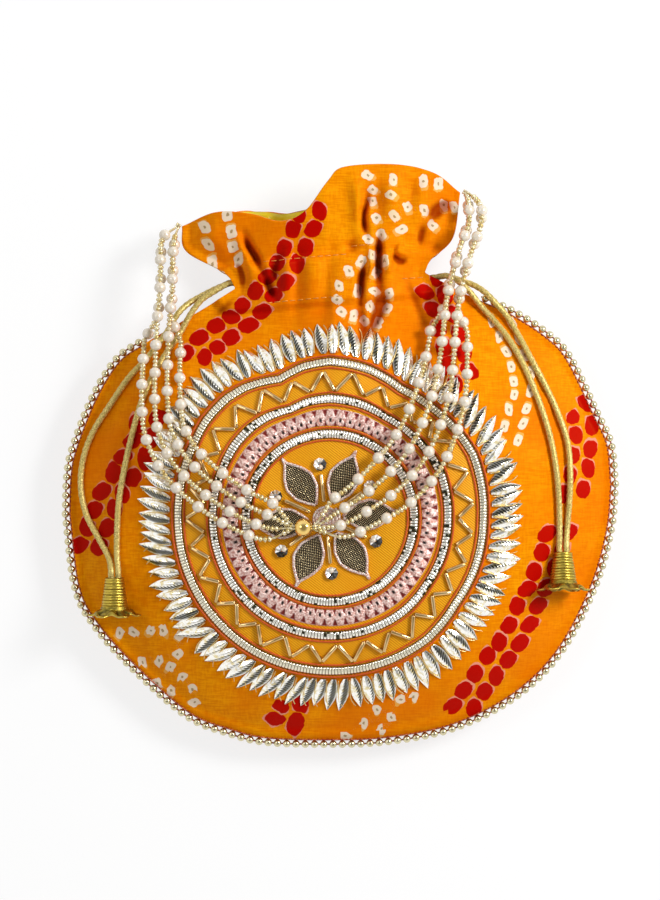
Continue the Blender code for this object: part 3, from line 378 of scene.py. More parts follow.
def front_height(v, points):
    away = np.clip((edge_distance(points) - SEAM_ALLOWANCE) / 0.012, 0, 1)
    base = OUTSIDE_GROUND + FRONT_CROWN * fullness(points, v) + TUNNEL_LIFT * tunnel_share(points)
    drawn = 0.0024 * smooth_step(0.50, 0.72, v) * away
    ring = np.hypot(points[..., 0] - MOTIF[0], points[..., 1] - MOTIF[1])
    loose = 0.25 + 0.75 * smooth_step(0.075, 0.100, ring)
    waves = ripple(points, 3, 0.034, 0.00055) + ripple(points, 5, 0.015, 0.00022)
    lowest = OUTSIDE_GROUND + 0.00015 + 0.32 * (base + drawn - OUTSIDE_GROUND)
    return np.maximum(base + drawn + gathers(points, FRONT_GATHERS) * away + waves * away * loose, lowest)


def back_height(u, v, points):
    away = np.clip((edge_distance(points) - SEAM_ALLOWANCE) / 0.012, 0, 1)
    ridge = 0.5 - 0.5 * np.cos(2 * math.pi * 9 * u + 2 * np.sin(5 * u))
    folds = 0.0042 * ridge * smooth_step(0.50, 0.72, v) * away
    base = SEAM_HEIGHT - GAP / 2 - CLOTH - BACK_CROWN * fullness(points, v) - TUNNEL_LIFT * tunnel_share(points)
    base = base - folds
    waves = np.abs(ripple(points, 8, 0.030, 0.0006)) * away
    return np.maximum(base + waves * smooth_step(0.30, 0.60, v), 0.00002)


def grid_faces(rows, columns):
    """Faces of a grid whose corners are listed row by row."""
    corner = (np.arange(rows - 1)[:, None] * columns + np.arange(columns - 1)).ravel()
    return np.stack([corner, corner + 1, corner + columns + 1, corner + columns], -1)


def grid_mesh(name, points, flip=False):
    """A grid of points as an open mesh with smooth shading."""
    faces = grid_faces(*points.shape[:2])
    if flip:
        faces = faces[:, ::-1]
    mesh = bpy.data.meshes.new(name)
    mesh.from_pydata(points.reshape(-1, 3).tolist(), [], faces.tolist())
    mesh.shade_smooth()
    return mesh


def add_piece(name, mesh, materials, slot, *nodes, thickness=0.0):
    """Puts a piece in the scene, on the bag, in the place of these plain solids."""
    obj = bpy.data.objects.new(name, mesh)
    bpy.context.scene.collection.objects.link(obj)
    for material in materials:
        mesh.materials.append(material)
    if thickness:
        solid = obj.modifiers.new("thickness", "SOLIDIFY")
        solid.thickness = thickness
        solid.offset = -1
    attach(obj, "root")
    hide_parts(*nodes)
    return obj


# Bandhani: tie-dyed spots in double rows. Red rows of ovals that nearly touch, each with a pale crescent
# where the thread was tied, and cream rows of rounded squares with a dot of the ground colour left in them.
# Each band: kind, distance between its two rows, pitch along them, length and width of a spot, all in mm,
# and the points in mm that its middle runs through.
RED, CREAM = 1, -1
FRONT_BANDS = (
    (RED, 8.0, 8.2, 7.9, 7.0,
         ((-12.0, 113.0), (-16.5, 100.0), (-24.0, 84.0), (-33.0, 73.0), (-43.5, 60.5), (-59.0, 50.0), (-69.5, 37.0))),
    (RED, 8.4, 8.8, 8.6, 7.5, ((-83.0, 22.0), (-89.0, 2.0), (-99.0, -12.5), (-106.5, -30.0), (-114.0, -46.0))),
    (CREAM, 11.0, 7.2, 5.6, 4.6, ((-56.0, 109.0), (-53.5, 98.0), (-51.0, 88.0), (-44.0, 76.0))),
    (RED, 8.0, 8.8, 8.4, 7.2, ((37.0, 82.0), (43.0, 70.0), (49.0, 50.0), (55.0, 28.0))),
    (CREAM, 7.4, 7.4, 5.2, 3.5,
         ((67.5, 68.0), (74.0, 54.0), (79.0, 40.0), (79.9, 29.6), (77.7, 22.0), (75.0, 12.0), (71.5, -1.0))),
    (RED, 7.6, 9.0, 8.0, 6.4, ((103.0, 26.0), (107.0, 17.0), (106.8, 4.0), (105.4, -6.0), (102.4, -18.0))),
    (RED, 8.4, 8.8, 8.4, 7.2,
         ((97.5, -27.0), (91.3, -44.3), (85.6, -58.4), (81.2, -68.0),
          (76.3, -77.8), (70.2, -87.0), (59.2, -102.4), (52.6, -113.4))),
    (RED, 8.6, 8.4, 8.2, 7.6, ((-29.0, -121.0), (-22.5, -114.0), (-21.0, -103.0))),
)
# Cream spots that stand on their own: their middles, read off the photograph, in its pixels.
CREAM_SPOTS = (
    (368, 176), (372, 190), (373, 202), (376, 218), (369, 239), (381, 233), (393, 180), (392, 197),
    (394, 215), (401, 229), (423, 182), (408, 208), (423, 208), (438, 182), (444, 204), (454, 204),
    (432, 225), (360, 262), (348, 270), (374, 255), (384, 262), (376, 274), (340, 286), (357, 290),
    (375, 290), (390, 293), (337, 300), (371, 306), (387, 310), (342, 311), (354, 317), (364, 319), (379, 324),
    (118, 634), (133, 631), (151, 632), (165, 631), (180, 634), (178, 653), (142, 662), (158, 661), (171, 667),
    (182, 676), (191, 689), (195, 703), (128, 684), (143, 688), (157, 684), (170, 693), (346, 737), (363, 724),
    (376, 709), (391, 717), (381, 731), (399, 699), (414, 696), (410, 684),
)
SPOT_PITCH = 12.0
SPOT_LENGTH, SPOT_WIDTH = 4.8, 3.9
ORIGIN_PIXEL = (340.5, 454.5)
SPOTS_MOVED_UP = 0.0012
# Where a corner lies in the print is stored as three numbers. The third is the number of its band times
# BAND_STEP, plus the spots in a row of it. The spots that stand on their own count as bands from LONE_FROM.
BAND_STEP = 64
LONE_FROM = 40


def store(mesh, name, values):
    """Stores three numbers for each corner of the mesh, where its material reads them."""
    mesh.attributes.new(name, "FLOAT_VECTOR", "POINT").data.foreach_set("vector", values.ravel())


def add_print(mesh, points, bands):
    """Stores where each point of the cloth lies in its nearest band, in pitches along and rows across."""
    flat = points.reshape(-1, 3)[:, :2]
    place = np.full((len(flat), 3), (0.0, 5.0, 0.0))
    size = np.full((len(flat), 3), (0.4, 0.4, 0.0))
    best = np.full(len(flat), 9.0)
    for number, (kind, rows_apart, pitch, length, width, route) in enumerate(bands):
        line = smooth_line(np.array(route) / 1000, 10)
        spots = int(distance_along(line, 2)[-1] * 1000 / pitch)
        reach = 1.6 * pitch / 1000
        first, last = line[0] - line[1], line[-1] - line[-2]
        before = line[0] + first / np.linalg.norm(first) * reach
        after = line[-1] + last / np.linalg.norm(last) * reach
        away, walked = line_place(flat, np.vstack([before, line, after]))
        rows, pitches = away * 1000 / rows_apart, (walked - reach) * 1000 / pitch
        near = (np.abs(rows) < 1.35) & (pitches > -0.6) & (pitches < spots + 0.6) & (np.abs(rows) < best)
        place[near] = np.stack([pitches, rows, np.full(len(flat), (number + 1) * BAND_STEP + spots)], -1)[near]
        size[near] = (length / pitch / 2, width / rows_apart / 2, kind)
        best[near] = np.abs(rows)[near]
    random = np.random.default_rng(4)
    closest = np.full(len(flat), 4.4)
    for number, (right, down) in enumerate(CREAM_SPOTS):
        middle = ((right - ORIGIN_PIXEL[0]) * PIXEL, (ORIGIN_PIXEL[1] - down) * PIXEL + SPOTS_MOVED_UP)
        offset = (flat - middle) * 1000
        turn, grown = random.uniform(0.6, 2.5), random.uniform(0.85, 1.15)
        along = (offset[:, 0] * math.cos(turn) + offset[:, 1] * math.sin(turn)) / SPOT_PITCH
        across = (offset[:, 1] * math.cos(turn) - offset[:, 0] * math.sin(turn)) / SPOT_PITCH
        distance = np.linalg.norm(offset, axis=1)
        near = distance < closest
        band = np.full(len(flat), (number + LONE_FROM) * BAND_STEP + 1)
        place[near] = np.stack([along + 0.5, across + 0.5, band], -1)[near]
        size[near] = (SPOT_LENGTH * grown / SPOT_PITCH / 2, SPOT_WIDTH / SPOT_PITCH / 2, CREAM)
        closest[near] = distance[near]
    store(mesh, "spot_place", place)
    store(mesh, "spot_size", size)


# Bandhani satin: a light silk satin, dyed saffron, with slubs along the weft. The eye sees a soft gold sheen
# with fine bright lines across. The creases are painted a deeper red-orange as shade, and the ridges get a
# painted highlight. Threads are 0.2 mm apart and drawn at 0.7 mm.
satin, tree, shader = start_material(
    "saffron bandhani satin", roughness=0.48, ior=1.45, sheen_weight=0.06, sheen_roughness=0.4,
    sheen_tint=colour("#FFB020"), specular_ior_level=0.14, specular_tint=colour("#FFC040"),
)
spot = add_node(tree, "Attribute", attribute_name="spot_place")
spot_size = add_node(tree, "Attribute", attribute_name="spot_size")
place = add_node(tree, "TexCoord")
uneven = add_node(tree, "TexNoise", {"Vector": place.outputs["Object"], "Scale": 420.0, "Detail": 1.0})
shaken = add_node(tree, "VectorMath", {0: uneven.outputs["Color"], 1: (0.5, 0.5, 0.5)}, operation="SUBTRACT")
shaken = add_node(tree, "VectorMath", {0: shaken, 1: (0.13, 0.13, 0.0)}, operation="MULTIPLY")
spot = add_node(tree, "VectorMath", {0: spot.outputs["Vector"], 1: shaken}, operation="ADD")
spot = add_node(tree, "SeparateXYZ", {0: spot})
spot_size = add_node(tree, "SeparateXYZ", {0: spot_size.outputs["Vector"]})
row = add_node(tree, "Math", {0: spot.outputs["Y"]}, operation="FLOOR")
along = add_node(tree, "Math", {0: row, 1: 0.45, 2: spot.outputs["X"]}, operation="MULTIPLY_ADD")
cell = add_node(tree, "Math", {0: along}, operation="FLOOR")
band = add_node(tree, "Math", {0: spot.outputs["Z"], 1: 1 / BAND_STEP}, operation="MULTIPLY")
spots = add_node(tree, "Math", {0: band}, operation="FRACT")
spots = add_node(tree, "Math", {0: spots, 1: BAND_STEP / 2, 2: -0.5}, operation="MULTIPLY_ADD")
band = add_node(tree, "Math", {0: band}, operation="FLOOR")
from_middle = add_node(tree, "Math", {0: cell, 1: spots}, operation="SUBTRACT")
from_middle = add_node(tree, "Math", {0: from_middle}, operation="ABSOLUTE")
spots = add_node(tree, "Math", {0: spots, 1: 0.2}, operation="ADD")
whole = add_node(tree, "Math", {0: from_middle, 1: spots}, operation="LESS_THAN")
in_band = add_node(tree, "Math", {0: row, 1: -0.5, 2: 0.6}, operation="COMPARE")
whole = add_node(tree, "Math", {0: whole, 1: in_band}, operation="MULTIPLY")
key = add_node(tree, "CombineXYZ", {0: cell, 1: row, 2: band})
chance = add_node(tree, "TexWhiteNoise", {"Vector": key}, noise_dimensions="3D")
chance = add_node(tree, "SeparateXYZ", {0: chance.outputs["Color"]})
in_cell = add_node(tree, "Math", {0: along}, operation="FRACT")
in_row = add_node(tree, "Math", {0: spot.outputs["Y"]}, operation="FRACT")
shift_x = add_node(tree, "MapRange", {0: chance.outputs["X"], 3: -0.57, 4: -0.43})
shift_y = add_node(tree, "MapRange", {0: chance.outputs["Y"], 3: -0.56, 4: -0.44})
in_cell = add_node(tree, "Math", {0: in_cell, 1: shift_x}, operation="ADD")
in_row = add_node(tree, "Math", {0: in_row, 1: shift_y}, operation="ADD")
lean = add_node(tree, "MapRange", {0: chance.outputs["Z"], 3: -0.30, 4: 0.30})
in_row = add_node(tree, "Math", {0: in_cell, 1: lean, 2: in_row}, operation="MULTIPLY_ADD")
cream_share = add_node(tree, "Math", {0: spot_size.outputs["Z"], 1: 0.0}, operation="LESS_THAN")
power = add_node(tree, "MapRange", {0: cream_share, 3: 2.3, 4: 3.4})


def spot_reach(tree, x, y):
    """How far a place lies from a spot's middle: 1 on its edge."""
    reach = []
    for value, half in ((x, spot_size.outputs["X"]), (y, spot_size.outputs["Y"])):
        part = add_node(tree, "Math", {0: value}, operation="ABSOLUTE")
        part = add_node(tree, "Math", {0: part, 1: half}, operation="DIVIDE")
        reach.append(add_node(tree, "Math", {0: part, 1: power}, operation="POWER"))
    return add_node(tree, "Math", {0: reach[0], 1: reach[1]}, operation="ADD")


reach = spot_reach(tree, in_cell, in_row)
spot_share = add_node(tree, "MapRange", {0: reach, 1: 1.10, 2: 0.90}, interpolation_type="SMOOTHSTEP")
beside = add_node(tree, "Math", {0: in_cell, 1: 0.13}, operation="ADD")
halo = add_node(
    tree, "MapRange", {0: spot_reach(tree, beside, in_row), 1: 1.12, 2: 0.95}, interpolation_type="SMOOTHSTEP"
)
eye = add_node(tree, "MapRange", {0: reach, 1: 0.014, 2: 0.004, 3: 0.0, 4: 0.8})
threads = add_node(tree, "Mapping", {"Vector": place.outputs["Object"], "Scale": (160.0, 1450.0, 300.0)})
slub = add_node(tree, "TexNoise", {"Vector": threads, "Scale": 1.0, "Detail": 2.0, "Roughness": 0.6})
warp = add_node(tree, "Mapping", {"Vector": place.outputs["Object"], "Scale": (1250.0, 210.0, 300.0)})
warp = add_node(tree, "TexNoise", {"Vector": warp, "Scale": 1.0, "Detail": 1.0})
patch = add_node(tree, "TexNoise", {"Vector": place.outputs["Object"], "Scale": 26.0, "Detail": 2.0})
weave = add_node(tree, "Math", {0: warp, 1: 0.5, 2: slub}, operation="MULTIPLY_ADD")
line_share = add_node(tree, "MapRange", {0: weave, 1: 0.60, 2: 0.92})
ground = add_node(tree, "Mix", {0: line_share, 6: colour("#EE8600"), 7: colour("#FFA406")}, data_type="RGBA")
deep = add_node(tree, "MapRange", {0: patch, 1: 0.40, 2: 0.66, 3: 0.05, 4: 0.62})
ground = add_node(tree, "Mix", {0: deep, 6: ground, 7: colour("#F06E00")}, data_type="RGBA")
pale = add_node(tree, "Mix", {0: cream_share, 6: colour("#F29A80"), 7: colour("#F4AE50")}, data_type="RGBA")
dyed = add_node(tree, "Mix", {0: cream_share, 6: colour("#C00202"), 7: colour("#F8E2C6")}, data_type="RGBA")
printed = add_node(tree, "Math", {0: spot_size.outputs["Z"]}, operation="ABSOLUTE")
printed = add_node(tree, "Math", {0: printed, 1: 0.97}, operation="GREATER_THAN")
printed = add_node(tree, "Math", {0: printed, 1: whole}, operation="MULTIPLY")
number = add_node(tree, "Math", {0: spot.outputs["Z"]}, operation="ROUND")
one_band = add_node(tree, "Math", {0: spot.outputs["Z"], 1: number, 2: 0.01}, operation="COMPARE")
printed = add_node(tree, "Math", {0: printed, 1: one_band}, operation="MULTIPLY")
halo = add_node(tree, "Math", {0: halo, 1: printed}, operation="MULTIPLY")
spot_share = add_node(tree, "Math", {0: spot_share, 1: printed}, operation="MULTIPLY")
eye = add_node(tree, "Math", {0: eye, 1: cream_share}, operation="MULTIPLY")
eye = add_node(tree, "Math", {0: eye, 1: printed}, operation="MULTIPLY")
ground = add_node(tree, "Mix", {0: halo, 6: ground, 7: pale}, data_type="RGBA")
ground = add_node(tree, "Mix", {0: spot_share, 6: ground, 7: dyed}, data_type="RGBA")
ground = add_node(tree, "Mix", {0: eye, 6: ground, 7: colour("#9A7A3A")}, data_type="RGBA")
# Painted light: the ridges of the gathers are lightened towards gold as a painted highlight, and the creases are
# darkened towards red-brown as painted shade.
fold = add_node(tree, "Attribute", attribute_name="fold_depth")
crest = add_node(tree, "MapRange", {0: fold.outputs["Fac"], 1: -0.1, 2: -1.0, 3: 0.0, 4: 0.45})
crest = add_node(tree, "Math", {0: crest, 1: 1.0}, operation="MULTIPLY", use_clamp=True)
ground = add_node(
    tree, "Mix", {0: crest, 6: ground, 7: colour("#FFC040")}, data_type="RGBA", blend_type="SOFT_LIGHT"
)
fold = add_node(
    tree, "MapRange", {0: fold.outputs["Fac"], 1: 0.12, 2: 1.0, 3: 0.0, 4: 0.88},
    interpolation_type="SMOOTHSTEP"
)
ground = add_node(tree, "Mix", {0: fold, 6: ground, 7: colour("#A04C2C")}, data_type="RGBA", blend_type="MULTIPLY")
tree.links.new(ground.outputs[2], shader.inputs["Base Color"])
relief = add_node(tree, "Bump", {"Height": weave, "Strength": 0.12, "Distance": 0.0004})
tree.links.new(relief.outputs[0], shader.inputs["Normal"])

# The front panel, cut from one piece of bandhani satin. It is sewn to the back one round the edge, right
# sides together, and turned.
columns, rows = np.meshgrid(np.linspace(0, 1, 231), np.linspace(0, 1, 181))
rows = 0.35 * rows + 0.65 * rows ** 0.9
flat = evened_out(panel_points(columns, rows, FRONT_MOUTH), 1300)
front_points = np.dstack([flat, front_height(rows, flat)])
front_mesh = grid_mesh("front_satin", front_points)
add_print(front_mesh, front_points, FRONT_BANDS)
# The depth of each crease, which the satin uses for its painted shade in creases and painted highlight on ridges.
fold = np.clip(-gathers(flat, FRONT_GATHERS) / 0.0036, -1, 1)
front_mesh.attributes.new("fold_depth", "FLOAT", "POINT").data.foreach_set("value", fold.ravel())
front_tree = BVHTree.FromPolygons(
    [Vector(p) for p in front_points.reshape(-1, 3)], [tuple(p.vertices) for p in front_mesh.polygons]
)
front = add_piece("front_satin", front_mesh, [satin], "bandhani_satin", "front_panel", thickness=CLOTH)

# The tunnel for the drawstrings is closed by running stitches in pale thread, which show in four short runs.
# Stitches are 2.4 mm long and lie half sunk in the satin.
STITCH_PITCH = 0.0034


def mottle(tree, shader, scale, dark, light, low=0.0, high=1.0, detail=1.0):
    """Colours a material in patches between two tones. The patches are about 1 metre / scale wide."""
    place = add_node(tree, "TexCoord")
    patches = add_node(tree, "TexNoise", {"Vector": place.outputs["Object"], "Scale": scale, "Detail": detail})
    patches = add_node(tree, "MapRange", {0: patches, 1: low, 2: high})
    mixed = add_node(tree, "Mix", {0: patches, 6: colour(dark), 7: colour(light)}, data_type="RGBA")
    tree.links.new(mixed.outputs[2], shader.inputs["Base Color"])


pale_thread, tree, shader = start_material("pale orange sewing thread", roughness=0.6)
mottle(tree, shader, 1800.0, "#E8901C", "#F6C060", detail=2.0)


def tube_faces(rings, around, caps=True, closed=False):
    """Faces of a tube whose corners are listed ring by ring."""
    faces = []
    for ring in range(rings if closed else rings - 1):
        here, after = ring * around, (ring + 1) % rings * around
        for step in range(around):
            turn = (step + 1) % around
            faces.append((here + step, here + turn, after + turn, after + step))
    if caps and not closed:
        faces.append(tuple(range(around))[::-1])
        faces.append(tuple((rings - 1) * around + step for step in range(around)))
    return faces


def join_pieces(name, parts):
    """One mesh from many: each part is its corners, faces and the number of its material."""
    corners, faces, numbers, start = [], [], [], 0
    for part_corners, part_faces, number in parts:
        corners.append(part_corners)
        faces.extend(tuple(start + corner for corner in face) for face in part_faces)
        numbers.extend([number] * len(part_faces))
        start += len(part_corners)
    mesh = bpy.data.meshes.new(name)
    mesh.from_pydata(np.vstack(corners).tolist(), [], faces)
    mesh.polygons.foreach_set("material_index", numbers)
    mesh.shade_smooth()
    return mesh


def height_of(x, y, fallback=OUTSIDE_GROUND):
    """Height of the satin front at this place."""
    hit = front_tree.ray_cast(Vector((x, y, 1)), Vector((0, 0, -1)))[0]
    return hit.z if hit else fallback


def lie_on(flat, height):
    return np.array([(x, y, height_of(x, y) + height) for x, y in flat])


parts = []
span = np.array(NECK_RIGHT) - np.array(NECK_LEFT)
span /= np.linalg.norm(span)
sideways = np.array((-span[1], span[0], 0)) * 0.00019
for start, end, offset in (
    (-0.0330, 0.0035, 0.0105), (0.0270, 0.0350, -0.0020), (-0.0330, 0.0000, -0.0078), (0.0060, 0.0150, 0.0140)
):
    across = np.array((-span[1], span[0])) * offset
    for at in np.arange(start, end, STITCH_PITCH):
        share = (at - NECK_LEFT[0]) / span[0]
        ends = [np.array(NECK_LEFT) + span * (share + along) + across for along in (0, 0.0012, 0.0024)]
        line = lie_on(ends, 0.00005)
        line[1, 2] += 0.00025
        corners = np.vstack([(p - sideways, p + (0, 0, 0.00022), p + sideways) for p in line])
        parts.append((corners, tube_faces(3, 3), 0))
add_piece("tunnel_stitches", join_pieces("stitches", parts), [pale_thread], "zari_cord", "front_panel")

# The back panel, of the same bandhani satin, cut and sewn like the front one. It is flat where the bag lies
# on it, and drawn into folds towards the neck.
columns, rows = np.meshgrid(np.linspace(0, 1, 161), np.linspace(0, 1, 131))
flat = evened_out(panel_points(columns, rows, BACK_MOUTH), 900)
back_points = np.dstack([flat, back_height(columns, rows, flat)])
back_mesh = grid_mesh("back_satin", back_points, flip=True)
add_print(back_mesh, back_points, FRONT_BANDS)
back = add_piece("back_satin", back_mesh, [satin], "bandhani_satin", "back_panel", thickness=CLOTH)

# The lining bag of plain yellow satin, sewn in at the mouth. Its bright edge shows where the back of the
# ruffle stands higher than the front. Polyester satin: smooth, with a clear soft gloss.
lining_satin, tree, shader = start_material(
    "yellow lining satin", roughness=0.34, ior=1.45, sheen_weight=0.2, specular_ior_level=0.4
)
place = add_node(tree, "TexCoord")
threads = add_node(tree, "Mapping", {"Vector": place.outputs["Object"], "Scale": (150.0, 1300.0, 300.0)})
slub = add_node(tree, "TexNoise", {"Vector": threads, "Scale": 1.0, "Detail": 2.0})
ground = add_node(tree, "Mix", {0: slub, 6: colour("#F6D000"), 7: colour("#FFEC20")}, data_type="RGBA")
tree.links.new(ground.outputs[2], shader.inputs["Base Color"])
relief = add_node(tree, "Bump", {"Height": slub, "Strength": 0.12, "Distance": 0.0003})
tree.links.new(relief.outputs[0], shader.inputs["Normal"])
for node_name, mouth, side in (("front_lining", FRONT_MOUTH, 1), ("back_lining", BACK_MOUTH, -1)):
    columns, rows = np.meshgrid(np.linspace(0, 1, 91), np.linspace(0, 0.998, 81))
    turned_in = smooth_step(0.50, 0.68, rows)
    inset = turned_in * (0.150 - 0.125 * smooth_step(0.80, 0.92, rows))
    columns = inset + (1 - 2 * inset) * columns
    shrink = 1 - 0.060 * (1 - smooth_step(0.60, 1.0, rows))
    middle = np.array((0, BOTTOM + BODY_HEIGHT / 2))
    flat = middle + shrink[..., None] * (panel_points(columns, rows, mouth) - middle)
    drop = 0.0030 - 0.0010 * smooth_step(0.84, 0.95, rows)
    if side > 0:
        height = front_height(rows, flat)
        height = np.maximum(height - drop, SEAM_HEIGHT + 0.25 * (height - SEAM_HEIGHT))
    else:
        height = np.minimum(back_height(columns, rows, flat) + drop, SEAM_HEIGHT - 0.0006)
    name = f"{node_name}_satin"
    mesh = grid_mesh(name, np.dstack([flat, height]), flip=side < 0)
    lining = add_piece(name, mesh, [lining_satin], "lining_satin", node_name, thickness=0.0006)


# The seam beads: hollow metal balls of 3 mm, threaded 4.1 mm apart on dark rose thread and couched over the
# seam from shoulder to shoulder. A thin braid of the same thread runs along their inner side.
BEAD = 0.0030
BEAD_PITCH = 0.0041


def ball(radius, around, rings, bore=0.0, length=1.0):
    """Corners and faces of a ball about the X axis, open at a bore of this radius. length stretches it."""
    limit = math.acos(min(bore / radius, 1.0)) if bore else math.pi / 2 - 0.06
    angles = np.linspace(-limit, limit, rings)
    turns = np.linspace(0, 2 * math.pi, around, endpoint=False)
    x = radius * length * np.sin(angles)[:, None] + 0 * turns
    y = radius * np.cos(angles)[:, None] * np.cos(turns)
    z = radius * np.cos(angles)[:, None] * np.sin(turns)
    return np.stack([x, y, z], -1).reshape(-1, 3), tube_faces(rings, around, caps=not bore)


def frames_along(line, closed=False):
    """At each point of the line: its direction, and two directions across, the second one upward."""
    if closed:
        along = np.roll(line, -1, axis=0) - np.roll(line, 1, axis=0)
    else:
        along = np.gradient(line, axis=0)
    along /= np.linalg.norm(along, axis=1)[:, None]
    across = np.cross((0, 0, 1), along)
    weak = np.linalg.norm(across, axis=1) < 0.15
    across[weak] = (1, 0, 0)
    across -= (across * along).sum(1)[:, None] * along
    across /= np.linalg.norm(across, axis=1)[:, None]
    return along, across, np.cross(along, across)


def twisted_tube(line, radius, plies=2, lay=0.004, around=12, depth=0.22, closed=False, flatten=1.0):
    """Corners and faces of a cord of twisted plies along the line. lay is the length of one full twist."""
    _, across, up = frames_along(line, closed)
    walked = distance_along(line)
    total = walked[-1]
    turns_in_all = max(1, round(total / lay)) if closed else total / lay
    turns = np.linspace(0, 2 * math.pi, around, endpoint=False)
    twist = 2 * math.pi * turns_in_all * walked / total
    wave = np.abs(np.cos(plies / 2 * (turns[None, :] - twist[:, None])))
    reach = (radius * (1 - depth + depth * wave))[..., None]
    ring = np.cos(turns)[None, :, None] * across[:, None] + flatten * np.sin(turns)[None, :, None] * up[:, None]
    corners = line[:, None, :] + reach * ring
    return corners.reshape(-1, 3), tube_faces(len(line), around, not closed, closed)


def beads_on(line, places, shape):
    """Copies of a bead, made about the X axis, at these distances along the line."""
    along, across, up = frames_along(line)
    walked = distance_along(line)
    made = []
    for distance in places:
        centre = [np.interp(distance, walked, line[:, i]) for i in range(3)]
        near = min(int(np.searchsorted(walked, distance)), len(line) - 1)
        turn = np.stack([along[near], across[near], up[near]])
        made.append((shape[0] @ turn + centre, shape[1]))
    return made


# Champagne metal: brass-plated hollow balls, polished and lightly lacquered, so each has a bright top and a
# dark lower edge.
champagne, tree, shader = start_material("champagne plated bead", metallic=1.0, roughness=0.20)
mottle(tree, shader, 260.0, "#BDB088", "#E8E0BC", detail=2.0)
# Edge thread and braid: lurex twisted with crimson cotton, so each reads as a thin dark rose line.
crimson, tree, shader = start_material("crimson and lurex edge braid", metallic=0.2, roughness=0.45)
mottle(tree, shader, 1300.0, "#8C2C10", "#CE7A50", low=0.50, high=0.64)

edge = np.vstack([LEFT_LINE[:61][::-1][:-1], BOTTOM_LINE[:-1], RIGHT_LINE[:70]])
edge = even_points(edge, BEAD_PITCH / 4, 2)
along = np.gradient(edge, axis=0)
along /= np.linalg.norm(along, axis=1)[:, None]
outward = np.stack([along[:, 1], -along[:, 0]], -1)
outside = np.column_stack([edge + (GAP + BEAD / 2) * outward, np.full(len(edge), SEAM_HEIGHT)])
length = distance_along(outside)[-1]
count = round(length / BEAD_PITCH)
parts = [(*twisted_tube(even_points(outside, 0.0008), 0.00038, lay=0.0016, around=8), 1)]
places = (np.arange(count) + 0.5) * length / count
parts += [(*made, 0) for made in beads_on(outside, places, ball(BEAD / 2 * 1.16, 14, 9))]
near = np.column_stack([edge - 0.0003 * outward, np.full(len(edge), OUTSIDE_GROUND)])
near = even_points(near, 0.0005)
near[:, 2] += 0.00020 * np.sin(2 * math.pi * distance_along(near) / BEAD_PITCH * 2)
parts.append((*twisted_tube(near, 0.00042, lay=0.0021, around=8, depth=0.35), 1))
mesh = join_pieces("seam_beads", parts)
add_piece("seam_beads", mesh, [champagne, crimson], "champagne_bead", "edge_bead_trim")


# The two drawstrings: twisted zari cord of 2.8 mm, each one whole length that runs out of its bell, up the
# front, round the tunnel at the neck and back down into the same bell, where both ends are knotted.
CORD = 0.0028
CORD_SEPARATION = 0.0031
BELL_LENGTH = 0.0190
BELL_TOP = 0.0078
BELL_RIM = 0.0196
BELL_OFF_CLOTH = 0.0013
CORD_END_DEPTH = 0.0060
KNOT_HALF = 0.0026
LEFT_BELL = (-0.0990, -0.0531)
RIGHT_BELL = (0.0975, -0.0420)
LEFT_INNER_LEG = (
    (-0.0484, 0.0772, 0.0020), (-0.0510, 0.0762, 0.0022), (-0.0560, 0.0732, 0.0028), (-0.0615, 0.0694, 0.0034),
    (-0.0662, 0.0632, 0.0038), (-0.0715, 0.0537, None), (-0.0781, 0.0437, None), (-0.0838, 0.0331, None),
    (-0.0882, 0.0217, None), (-0.0917, 0.0085, None), (-0.0948, -0.0056, None), (-0.0970, -0.0188, None),
    (-0.0979, -0.0320, None), (-0.0980, -0.0428, None),
)
LEFT_OUTER_LEG = (
    (-0.0484, 0.0772, -0.0020), (-0.0510, 0.0765, -0.0020), (-0.0563, 0.0742, -0.0016),
    (-0.0620, 0.0712, -0.0006), (-0.0675, 0.0678, 0.0012), (-0.0720, 0.0632, 0.0034), (-0.0768, 0.0552, None),
    (-0.0847, 0.0445, None), (-0.0935, 0.0349, None), (-0.1014, 0.0234, None), (-0.1093, 0.0111, None),
    (-0.1137, -0.0012, None), (-0.1146, -0.0135, None), (-0.1120, -0.0254, None), (-0.1062, -0.0360, None),
    (-0.1018, -0.0438, None),
)
RIGHT_INNER_LEG = (
    (0.0420, 0.0796, 0.0014), (0.0470, 0.0802, 0.0018), (0.0525, 0.0775, 0.0030), (0.0570, 0.0732, 0.0038),
    (0.0622, 0.0667, None), (0.0680, 0.0602, None), (0.0737, 0.0527, None), (0.0790, 0.0437, None),
    (0.0843, 0.0318, None), (0.0887, 0.0199, None), (0.0922, 0.0076, None), (0.0945, -0.0056, None),
    (0.0957, -0.0188, None), (0.0960, -0.0318, None),
)
RIGHT_OUTER_LEG = (
    (0.0420, 0.0796, -0.0019), (0.0475, 0.0804, -0.0020), (0.0535, 0.0782, -0.0005), (0.0590, 0.0762, 0.0010),
    (0.0638, 0.0730, 0.0030), (0.0680, 0.0687, 0.0038), (0.0735, 0.0624, None), (0.0788, 0.0533, None),
    (0.0842, 0.0428, None), (0.0904, 0.0309, None), (0.0957, 0.0190, None), (0.0997, 0.0067, None),
    (0.1008, -0.0065, None), (0.1004, -0.0198, None), (0.0994, -0.0318, None),
)

